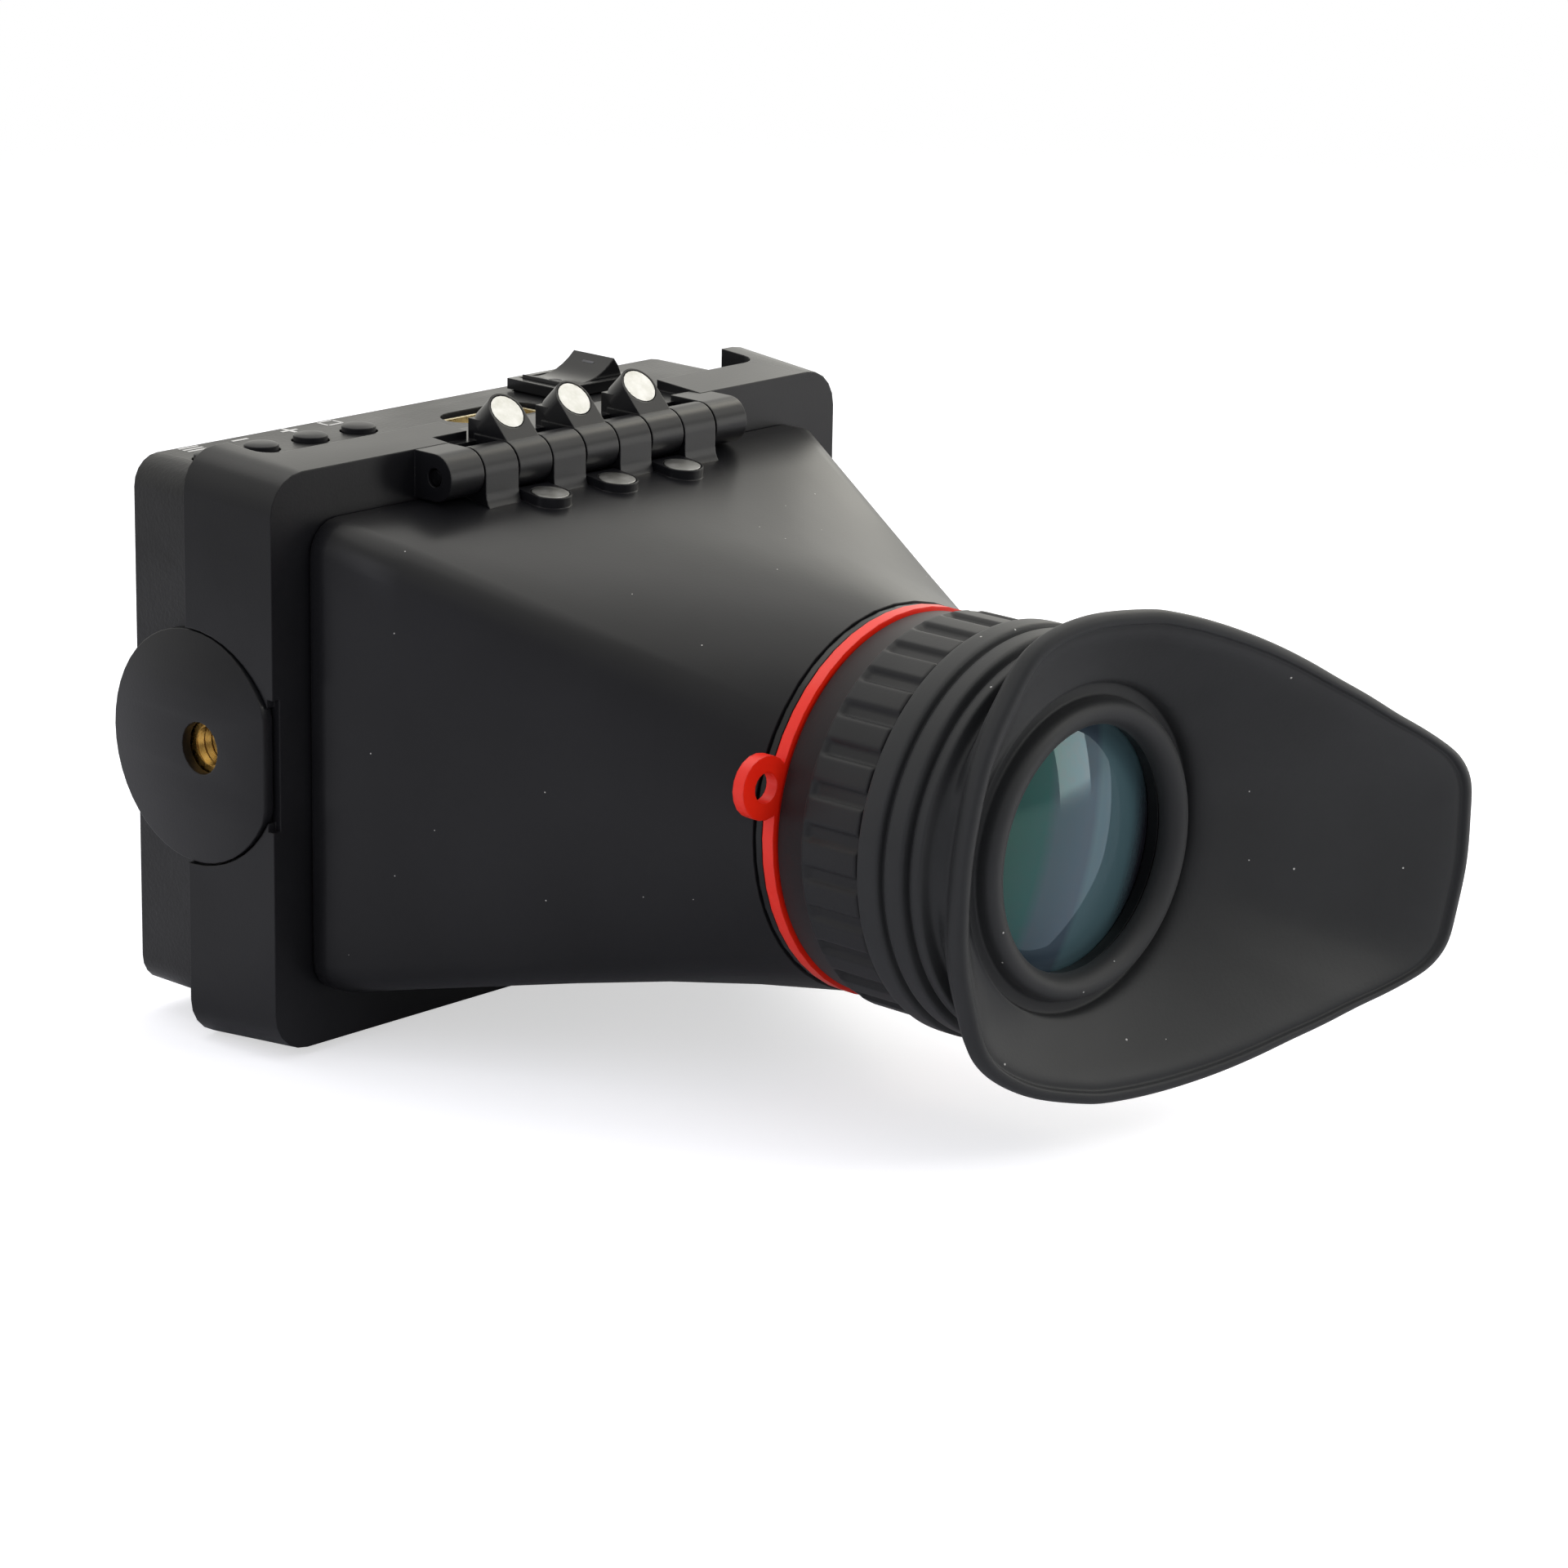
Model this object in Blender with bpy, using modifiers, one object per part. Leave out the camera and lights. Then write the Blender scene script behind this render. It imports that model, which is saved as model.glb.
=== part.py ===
"""Electronic viewfinder with a flip-up magnifier hood, built piece by piece.

Metres, +Z up. The eyepiece points to -Y, the display module lies at +Y and X is to the
viewer's right. Y = 0 in the design is the front face of the frame and Z = 0 its middle;
at the end everything is moved so that the origin is under the middle of the object.
"""
import math

import bmesh
import bpy
from mathutils import Matrix, Vector

# Front frame, the drafted sleeve that slips over the display module
FRAME_WIDTH = 0.106
FRAME_HEIGHT = 0.078
FRAME_DEPTH = 0.0158
FRAME_DRAFT = math.radians(4.0)
FRAME_CORNER = 0.0055
FRAME_FACE_WALL = 0.0022
FRAME_SIDE_WALL = 0.0025
FRAME_TOP_WALL = 0.0025
PICTURE_BORDER = 0.010
PICTURE_OPENING_CORNER = 0.003
NOTCH_FRONT = 0.0084
NOTCH_EAR = 0.0066
NOTCH_CORNER = 0.003
RELIEF_HALF_HEIGHT = 0.0089

# Display module
MODULE_REAR = 0.030
MODULE_CORNER = 0.004
MODULE_WALL = 0.002
WINDOW_SIDE_BORDER = 0.0135
WINDOW_TOP_BORDER = 0.0085
WINDOW_OPENING_CORNER = 0.002
WINDOW_MARGIN = 0.003
WINDOW_THICKNESS = 0.0012
PANEL_THICKNESS = 0.0016
BACKLIGHT_THICKNESS = 0.0055
BOARD_THICKNESS = 0.0014
BOARD_SIDE_BORDER = 0.0085
BOARD_TOP_BORDER = 0.0055
CHIP_SIDE = 0.016
CHIP_HEIGHT = 0.0018
COVER_THICKNESS = 0.0022
COVER_RECESS = 0.0002

# Screws of the rear cover and the posts that take them
SCREW_FROM_SIDE = 0.0043
SCREW_FROM_TOP = 0.0145
SCREW_RADIUS = 0.001
SCREW_LENGTH = 0.010
SCREW_HEAD_RADIUS = 0.0021
SCREW_HEAD_HEIGHT = 0.0011
POST_RADIUS = 0.0026
BOARD_POST_RADIUS = 0.0025
BOARD_POST_FROM_SIDE = 0.008
BOARD_POST_FROM_TOP = 0.007

# Keys on the top of the module
KEY_FROM_SIDE = 0.0066
KEY_PITCH = 0.0087
KEY_COUNT = 4
KEY_Y = 0.022
KEY_RADIUS = 0.00235
KEY_PROUD = 0.0007
KEY_CROWN = 0.00035
KEY_FLANGE_RADIUS = 0.0029
KEY_FLANGE_HEIGHT = 0.0006
KEY_TRAVEL = 0.0006
SWITCH_SIDE = 0.006
SWITCH_HEIGHT = 0.0022
PLUNGER_RADIUS = 0.0012
PLUNGER_HEIGHT = 0.0010
KEY_BOARD_DEPTH = 0.010

# Signal socket on the top
SOCKET_X = 0.0037
SOCKET_Y = 0.0185
SOCKET_WIDTH = 0.0145
SOCKET_CORNER = 0.0008
SOCKET_THICKNESS = 0.0055
SOCKET_DEPTH = 0.0115
SOCKET_SHELL = 0.0005
SOCKET_FLOOR = 0.0025
SOCKET_RECESS = 0.0005
TONGUE_WIDTH = 0.0115
TONGUE_THICKNESS = 0.0014
TONGUE_SHORT = 0.0018
SOCKET_OPENING_MARGIN = 0.0011

# Rocker switch on the top
ROCKER_X = 0.023
ROCKER_Y = 0.0225
BEZEL_LENGTH = 0.015
BEZEL_WIDTH = 0.0105
BEZEL_HEIGHT = 0.0018
ROCKER_BODY_LENGTH = 0.0136
ROCKER_BODY_WIDTH = 0.0092
ROCKER_BODY_DEPTH = 0.0095
ROCKER_RADIUS = 0.006
ROCKER_WIDTH = 0.008
ROCKER_PIVOT_DROP = 0.0015
ROCKER_RIDGE_ANGLE = math.radians(31.0)
ROCKER_VALLEY = 0.0016
ROCKER_TILT = math.radians(12.0)

# Power jack in the rear cover
JACK_X = 0.018
JACK_FROM_BOTTOM = 0.0125
JACK_RADIUS = 0.0048
JACK_LENGTH = 0.0105
JACK_BORE_RADIUS = 0.0031
JACK_BORE_DEPTH = 0.0088
JACK_PIN_RADIUS = 0.001
JACK_PIN_SHORT = 0.0012

# Round side mounts with a 1/4 inch thread
DISC_RADIUS = 0.0158
DISC_Y = 0.0151
DISC_Z = 0.0005
DISC_PROUD = 0.0008
DISC_OUTER_THICKNESS = 0.0017
DISC_CHORD_Y = 0.001
DISC_EDGE = 0.0006
THREAD_Y = 0.0136
THREAD_MOUTH_RADIUS = 0.00355
THREAD_MOUTH_DEPTH = 0.0014
THREAD_MAJOR_RADIUS = 0.003175
THREAD_MINOR_RADIUS = 0.0026
THREAD_PITCH = 0.00127
THREAD_TURNS = 6
INSERT_RADIUS = 0.0042
DISC_BOSS_RADIUS = 0.0056

# Flip hinge with nine knuckles and three pairs of magnet ears
KNUCKLE_COUNT = 9
HINGE_LENGTH = 0.056
KNUCKLE_RADIUS = 0.0032
HINGE_OUT = 0.0038
HINGE_TOP_STEP = 0.00005
PIN_RADIUS = 0.001
PIN_RECESS = 0.0002
POCKET_DEPTH = 0.0014
POCKET_DROP = 0.0055
CHANNEL_DROP = 0.0009
CHANNEL_RIGHT = 0.0258
CHANNEL_STEP_Y = 0.003
MAGNET_RADIUS = 0.0025
MAGNET_THICKNESS = 0.0015
EAR_REACH = 0.0062
EAR_FACE_OFFSET = 0.00264
FRAME_EAR_NORMAL = math.radians(44.0)
HOOD_EAR_NORMAL = math.radians(84.0)
FRAME_EAR_THICKNESS = 0.0036
HOOD_EAR_THICKNESS = 0.0028
EAR_INSET = 0.00005
EAR_ROOT_DEPTH = 0.0023
EAR_ROOT_FRONT = 0.0008
EAR_ROOT_RISE = 0.0019
FOOT_REACH = 0.0064
FOOT_SINK = 0.001

# Hood, from a rounded rectangle at the frame to a round neck
HOOD_FROM_FRAME_SIDE = 0.0064
HOOD_FROM_FRAME_TOP = 0.0068
HOOD_FROM_FRAME_BOTTOM = 0.0072
HOOD_CORNER = 0.0046
HOOD_RIM = 0.0032
HOOD_WALL = 0.002
HOOD_LENGTH = 0.060
NECK_RADIUS = 0.0258
EYE_DROP = 0.0014
NECK_TOP_CORNER = math.radians(32.3)
NECK_BOTTOM_CORNER = math.radians(47.8)
NECK_CORNER_SPREAD = math.radians(5.5)
HOOD_STAGE_SHARES = (0.17, 0.33, 0.5, 0.66, 0.83, 1.0)

# Eyepiece
SPIGOT_STEP = 0.0024
SPIGOT_WALL = 0.0018
SPIGOT_LENGTH = 0.016
SPIGOT_ROOT = 0.002
RING_RADIUS = 0.0257
NECK_RING_WIDTH = 0.001
STRAP_RING_WIDTH = 0.0018
TAB_RADIUS = 0.0042
TAB_HOLE_RADIUS = 0.002
TAB_CENTRE_RADIUS = 0.028
TAB_ANGLE = math.radians(165.0)
FOCUS_BAND_RADIUS = 0.0252
FOCUS_BAND_WIDTH = 0.0047
GRIP_RADIUS = 0.0262
GRIP_WIDTH = 0.0096
GRIP_FLUTES = 30
FLUTE_DEPTH = 0.0007
GRIP_LIP = 0.0014
GRIP_LIP_RADIUS = 0.0219
CARRIER_WALL = 0.0018
CARRIER_TAIL = 0.018
CARRIER_FLANGE_RADIUS = 0.0242
CARRIER_FLANGE_WIDTH = 0.005
CARRIER_FRONT = 0.0912
LENS_SEAT_RADIUS = 0.0182
LENS_CLEAR_RADIUS = 0.0163
LENS_STOP_RADIUS = 0.0172
LENS_STOP_WIDTH = 0.0015
EYE_LENS_EDGE = 0.003
EYE_LENS_BULGE = 0.0026
FIELD_LENS_EDGE = 0.003
FIELD_LENS_BULGE = 0.0028
FIELD_LENS_Y = 0.068
RETAINER_WIDTH = 0.0016
RETAINER_INNER_RADIUS = 0.0165

# Eyecup, a soft sleeve with a winged flange
CUP_SLEEVE_RADIUS = 0.0270
CUP_STEP_RADIUS = 0.0264
CUP_NECK_RADIUS = 0.0236
CUP_GROOVE_DEPTH = 0.0011
CUP_GROOVE_WIDTH = 0.0006
CUP_FIRST_GROOVE = 0.0826
CUP_SECOND_GROOVE = 0.0866
CUP_NECK_FRONT = 0.0886
CUP_ROLL_FRONT = 0.0945
CUP_ROLL_OUTER = 0.0207
CUP_ROLL_INNER = 0.0160
CUP_DISH_RADIUS = 0.0208
CUP_DISH_FRONT = 0.0935
CUP_RIM_FRONT = 0.0980
CUP_LEAN = 0.265
CUP_WALL = 0.0018
CUP_BEAD = 0.0013
CUP_TURN = math.radians(-8.8)
NOSE_REACH = 0.0227
WING_REACH = 0.0539
CUP_HALF_HEIGHT = 0.03105
CUP_OUTLINE_SHARES = (
    (-1.0, 0.0), (-0.98, 0.25), (-0.94, 0.43), (-0.86, 0.61), (-0.70, 0.84), (-0.40, 0.96), (0.0, 1.0),
    (0.092, 0.99), (0.184, 0.963), (0.276, 0.925), (0.368, 0.878), (0.46, 0.82), (0.55, 0.755),
    (0.643, 0.69), (0.735, 0.618), (0.827, 0.552), (0.915, 0.475), (0.955, 0.415), (0.98, 0.34),
    (0.99, 0.22), (1.0, 0.0),
)

# Fits, overruns and counts
GAP = 0.0003
THROW_GAP = 0.00045
OVERRUN = 0.002
WELD = 0.000001
ROUND_STEPS = 48
SMALL_STEPS = 20
CORNER_STEPS = 5
SPAN_STEPS = 12
CUP_POINTS = 60

# Derived places
MODULE_WIDTH = FRAME_WIDTH - 2 * FRAME_SIDE_WALL
MODULE_HEIGHT = FRAME_HEIGHT - 2 * FRAME_TOP_WALL
PICTURE_HALF_WIDTH = FRAME_WIDTH / 2 - PICTURE_BORDER
PICTURE_HALF_HEIGHT = FRAME_HEIGHT / 2 - PICTURE_BORDER
NOTCH_HALF_WIDTH = FRAME_WIDTH / 2 - NOTCH_EAR
WINDOW_HALF_WIDTH = MODULE_WIDTH / 2 - WINDOW_SIDE_BORDER
WINDOW_HALF_HEIGHT = MODULE_HEIGHT / 2 - WINDOW_TOP_BORDER
BOARD_HALF_WIDTH = MODULE_WIDTH / 2 - BOARD_SIDE_BORDER
BOARD_HALF_HEIGHT = MODULE_HEIGHT / 2 - BOARD_TOP_BORDER
SCREW_X = MODULE_WIDTH / 2 - SCREW_FROM_SIDE
SCREW_Z = MODULE_HEIGHT / 2 - SCREW_FROM_TOP
BOARD_POST_X = BOARD_HALF_WIDTH - BOARD_POST_FROM_SIDE
BOARD_POST_Z = BOARD_HALF_HEIGHT - BOARD_POST_FROM_TOP
KEY_FIRST_X = KEY_FROM_SIDE - MODULE_WIDTH / 2
JACK_Z = JACK_FROM_BOTTOM - MODULE_HEIGHT / 2
DISC_FACE_X = FRAME_WIDTH / 2 + DISC_PROUD
HOOD_HALF_WIDTH = FRAME_WIDTH / 2 - HOOD_FROM_FRAME_SIDE
HOOD_TOP = FRAME_HEIGHT / 2 - HOOD_FROM_FRAME_TOP
HOOD_BOTTOM = FRAME_HEIGHT / 2 - HOOD_FROM_FRAME_BOTTOM
SPIGOT_RADIUS = NECK_RADIUS - SPIGOT_STEP
FRAME_GROWTH = FRAME_DEPTH * math.tan(FRAME_DRAFT)
MODULE_FRONT = FRAME_FACE_WALL + GAP
MODULE_TOP = MODULE_HEIGHT / 2
INNER_TOP = MODULE_TOP - MODULE_WALL
LIP_BACK = MODULE_FRONT + MODULE_WALL
WINDOW_FRONT = LIP_BACK + GAP
PANEL_FRONT = WINDOW_FRONT + WINDOW_THICKNESS + GAP
BACKLIGHT_FRONT = PANEL_FRONT + PANEL_THICKNESS + GAP
BOARD_FRONT = BACKLIGHT_FRONT + BACKLIGHT_THICKNESS + GAP
BOARD_BACK = BOARD_FRONT + BOARD_THICKNESS
COVER_OUTER = MODULE_REAR - COVER_RECESS
COVER_INNER = COVER_OUTER - COVER_THICKNESS
FRAME_CAVITY_HALF_WIDTH = MODULE_WIDTH / 2 + GAP
HINGE_Y = -HINGE_OUT
HINGE_Z = FRAME_HEIGHT / 2 - KNUCKLE_RADIUS - HINGE_TOP_STEP
KNUCKLE_PITCH = HINGE_LENGTH / KNUCKLE_COUNT
PIN_BORE_RADIUS = PIN_RADIUS + GAP
SPIGOT_INNER = SPIGOT_RADIUS - SPIGOT_WALL
RING_BORE = SPIGOT_RADIUS + GAP
CARRIER_RADIUS = SPIGOT_INNER - GAP
STRAP_RING_BACK = HOOD_LENGTH + GAP + NECK_RING_WIDTH + GAP
FOCUS_BACK = STRAP_RING_BACK + STRAP_RING_WIDTH + GAP
FOCUS_FRONT = FOCUS_BACK + FOCUS_BAND_WIDTH + GRIP_WIDTH
CARRIER_FLANGE_BACK = FOCUS_FRONT + GAP


def new_collection(name):
    """A collection linked under the scene."""
    made = bpy.data.collections.new(name)
    bpy.context.scene.collection.children.link(made)
    return made


def paint(name, colour, roughness, metallic=0.0):
    """One Principled BSDF material."""
    made = bpy.data.materials.new(name)
    made.use_nodes = True
    shader = made.node_tree.nodes["Principled BSDF"]
    shader.inputs["Base Color"].default_value = (*colour, 1.0)
    shader.inputs["Roughness"].default_value = roughness
    shader.inputs["Metallic"].default_value = metallic
    made.diffuse_color = (*colour, 1.0)
    return made


def add_object(name, mesh, material=None, smooth=True):
    """A mesh object: a part if it has a material, otherwise a hidden tool for the Booleans."""
    made = bpy.data.objects.new(name, mesh)
    if material is None:
        TOOLS.objects.link(made)
        made.hide_render = True
        made.display_type = "WIRE"
    else:
        PARTS.objects.link(made)
        mesh.materials.append(material)
        if smooth:
            mesh.shade_smooth()
            mesh.set_sharp_from_angle(angle=math.radians(35.0))
    made.parent = DATUM
    return made


def modify(target, tool, operation):
    """Add one exact Boolean."""
    step = target.modifiers.new(operation.lower() + "_" + tool.name, "BOOLEAN")
    step.operation = operation
    step.object = tool
    step.solver = "EXACT"
    return target


def cut(target, *tools):
    for tool in tools:
        modify(target, tool, "DIFFERENCE")
    return target


def join(target, *tools):
    for tool in tools:
        modify(target, tool, "UNION")
    return target


def round_corners(half_width, half_height, radius, steps=CORNER_STEPS, middle=(0.0, 0.0)):
    """Points of a rounded rectangle, anticlockwise."""
    points = []
    for quarter, (side, rise) in enumerate(((1, 1), (-1, 1), (-1, -1), (1, -1))):
        for step in range(steps + 1):
            angle = math.pi / 2 * (quarter + step / steps)
            points.append((middle[0] + side * (half_width - radius) + radius * math.cos(angle),
                           middle[1] + rise * (half_height - radius) + radius * math.sin(angle)))
    return points


def circle(radius, middle=(0.0, 0.0), steps=SMALL_STEPS, start_share=0.0):
    """Points of a circle, anticlockwise."""
    turns = [2 * math.pi * (step + start_share) / steps for step in range(steps)]
    return [(middle[0] + radius * math.cos(turn), middle[1] + radius * math.sin(turn)) for turn in turns]


def rectangle(low_u, high_u, low_v, high_v):
    return [(low_u, low_v), (high_u, low_v), (high_u, high_v), (low_u, high_v)]


TURN_TO = {
    "X": Matrix(((0, 0, 1), (1, 0, 0), (0, 1, 0))),
    "Y": Matrix(((1, 0, 0), (0, 0, -1), (0, 1, 0))),
    "Z": Matrix.Identity(3),
}


def plate(name, loops, low, high, axis, material=None, smooth=True):
    """A flat outline with optional holes, thick from low to high along an axis.

    Along X the outline is (y, z), along Y it is (x, z) and along Z it is (x, y).
    """
    curve = bpy.data.curves.new(name + "_outline", "CURVE")
    curve.dimensions = "2D"
    curve.fill_mode = "BOTH"
    curve.extrude = (high - low) / 2
    for loop in loops:
        spline = curve.splines.new("POLY")
        spline.points.add(len(loop) - 1)
        for point, (u, v) in zip(spline.points, loop):
            point.co = (u, v, 0.0, 1.0)
        spline.use_cyclic_u = True
    drawn = bpy.data.objects.new(name + "_outline", curve)
    TOOLS.objects.link(drawn)
    bpy.context.view_layer.update()
    mesh = bpy.data.meshes.new_from_object(drawn.evaluated_get(bpy.context.evaluated_depsgraph_get()))
    bpy.data.objects.remove(drawn)
    mesh.name = name
    shift = Vector((0.0, 0.0, 0.0))
    shift["XYZ".index(axis)] = (low + high) / 2
    work = bmesh.new()
    work.from_mesh(mesh)
    bmesh.ops.remove_doubles(work, verts=work.verts, dist=WELD)
    bmesh.ops.transform(work, matrix=Matrix.Translation(shift) @ TURN_TO[axis].to_4x4(), verts=work.verts)
    bmesh.ops.recalc_face_normals(work, faces=work.faces)
    work.to_mesh(mesh)
    work.free()
    mesh.materials.clear()
    return add_object(name, mesh, material, smooth)


def loft(name, rings, material=None, caps=False, around=False):
    """Join rings of points with quads. Caps close the first and last ring; around joins them."""
    work = bmesh.new()
    rows = [[work.verts.new(point) for point in ring] for ring in rings]
    pairs = list(zip(rows, rows[1:]))
    if around:
        pairs.append((rows[-1], rows[0]))
    for row, after in pairs:
        for index in range(len(row)):
            beside = (index + 1) % len(row)
            work.faces.new((row[index], row[beside], after[beside], after[index]))
    if caps:
        work.faces.new(rows[0])
        work.faces.new(rows[-1])
    bmesh.ops.remove_doubles(work, verts=work.verts, dist=WELD)
    bmesh.ops.recalc_face_normals(work, faces=work.faces)
    mesh = bpy.data.meshes.new(name)
    work.to_mesh(mesh)
    work.free()
    return add_object(name, mesh, material)


def turned(name, profile, middle, axis, material=None, steps=ROUND_STEPS, ring=False):
    """Turn a profile of (radius, height) points with a Screw. The outer side runs downwards.

    A ring is a closed profile clear of the axis. Otherwise both ends lie on the axis.
    """
    mesh = bpy.data.meshes.new(name)
    edges = [(index, index + 1) for index in range(len(profile) - 1)]
    if ring:
        edges.append((len(profile) - 1, 0))
    mesh.from_pydata([(radius, 0.0, height) for radius, height in profile], edges, [])
    made = add_object(name, mesh, material, smooth=False)
    made.location = middle
    made.rotation_mode = "QUATERNION"
    made.rotation_quaternion = Vector((0.0, 0.0, 1.0)).rotation_difference(Vector(axis))
    screw = made.modifiers.new("turn", "SCREW")
    screw.axis = "Z"
    screw.angle = 2 * math.pi
    screw.steps = steps
    screw.render_steps = steps
    screw.use_merge_vertices = True
    screw.merge_threshold = WELD
    screw.use_smooth_shade = True
    return made


def rod(name, radius, start, length, axis, material=None, steps=SMALL_STEPS):
    """A plain cylinder from a start point along an axis."""
    work = bmesh.new()
    bmesh.ops.create_cone(work, cap_ends=True, segments=steps, radius1=radius, radius2=radius, depth=length)
    mesh = bpy.data.meshes.new(name)
    work.to_mesh(mesh)
    work.free()
    made = add_object(name, mesh, material)
    direction = Vector(axis).normalized()
    made.location = Vector(start) + direction * (length / 2)
    made.rotation_mode = "QUATERNION"
    made.rotation_quaternion = Vector((0.0, 0.0, 1.0)).rotation_difference(direction)
    return made


def block(name, low, high, material=None):
    """A box between two corners."""
    work = bmesh.new()
    bmesh.ops.create_cube(work, size=1.0)
    size = Vector(high) - Vector(low)
    middle = (Vector(high) + Vector(low)) / 2
    placed = Matrix.Translation(middle) @ Matrix.Diagonal((*size, 1.0))
    bmesh.ops.transform(work, matrix=placed, verts=work.verts)
    mesh = bpy.data.meshes.new(name)
    work.to_mesh(mesh)
    work.free()
    return add_object(name, mesh, material)


def ring_rod(name, outer, inner, near, far, material):
    """A plain ring about the eyepiece axis, between two distances in front of the frame."""
    profile = ((outer, far), (outer, near), (inner, near), (inner, far))
    return turned(name, profile, (0.0, 0.0, -EYE_DROP), (0.0, -1.0, 0.0), material, ring=True)


def knuckle_span(index):
    """The X range of one hinge knuckle, with its running gap."""
    left = -HINGE_LENGTH / 2 + KNUCKLE_PITCH * index
    return left + GAP / 2, left + KNUCKLE_PITCH - GAP / 2


def hinge_point(normal_angle, offset, along):
    """A (y, z) place about the hinge: offset along a face's normal, then along the face outwards.

    Angles run from -Y towards +Z. The frame's ears point upwards and the hood's forwards.
    """
    outward = normal_angle + (math.pi / 2 if normal_angle < math.pi / 4 else -math.pi / 2)
    forward = offset * math.cos(normal_angle) + along * math.cos(outward)
    upward = offset * math.sin(normal_angle) + along * math.sin(outward)
    return HINGE_Y - forward, HINGE_Z + upward


def ear_tab(name, index, normal_angle, face_offset, thickness, start, material=None):
    """A round-ended tab with its face on a plane beside the hinge axis."""
    low_x, high_x = knuckle_span(index)
    radius = (high_x - low_x) / 2 - EAR_INSET
    tip = [(radius * math.cos(turn), EAR_REACH + radius * math.sin(turn))
           for turn in (math.pi * step / SMALL_STEPS for step in range(SMALL_STEPS + 1))]
    outline = [(-radius, start), (radius, start)] + tip
    made = plate(name, [outline], face_offset - thickness, face_offset, "Z", material)
    seat_ear(made, index, normal_angle)
    return made


def seat_ear(made, index, normal_angle):
    """Turn a shape drawn flat (x, reach, offset) onto the ear's face plane beside the hinge."""
    low_x, high_x = knuckle_span(index)
    foot = hinge_point(normal_angle, 0.0, 0.0)
    unit = hinge_point(normal_angle, 0.0, EAR_REACH)
    along = Vector((0.0, unit[0] - foot[0], unit[1] - foot[1])).normalized()
    rise = hinge_point(normal_angle, EAR_REACH, 0.0)
    normal = Vector((0.0, rise[0] - foot[0], rise[1] - foot[1])).normalized()
    across = along.cross(normal)
    turn = Matrix((across, along, normal)).transposed().to_4x4()
    made.data.transform(Matrix.Translation(((low_x + high_x) / 2, *foot)) @ turn)


def magnet(name, index, normal_angle, face_offset, material=None, room=0.0):
    """A disc whose front lies on an ear's face, or the pocket cutter for it if it has some room."""
    outline = circle(MAGNET_RADIUS + room / 2, (0.0, EAR_REACH), start_share=0.5)
    front = face_offset + (OVERRUN if room else 0.0)
    made = plate(name, [outline], face_offset - MAGNET_THICKNESS - room, front, "Z", material)
    seat_ear(made, index, normal_angle)
    return made


def frame_section(y):
    """The drafted outside of the frame at one depth."""
    grow = y * math.tan(FRAME_DRAFT)
    outline = round_corners(FRAME_WIDTH / 2 + grow, FRAME_HEIGHT / 2 + grow, FRAME_CORNER)
    return [(x, y, z) for x, z in outline]


def knuckle_outline():
    """A knuckle of the frame with its flat bridge back to the frame's face."""
    back = FRAME_FACE_WALL - GAP
    nose = [(HINGE_Y - KNUCKLE_RADIUS * math.sin(turn), HINGE_Z + KNUCKLE_RADIUS * math.cos(turn))
            for turn in (math.pi * step / SMALL_STEPS for step in range(SMALL_STEPS + 1))]
    return [(back, HINGE_Z + KNUCKLE_RADIUS)] + nose + [(back, HINGE_Z - KNUCKLE_RADIUS)]


def disc_outline(radius, front):
    """The side mount's round outline in (y, z), cut straight at the front."""
    points = circle(radius, (DISC_Y, DISC_Z), ROUND_STEPS)
    return [(max(y, front), z) for y, z in points]


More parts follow.
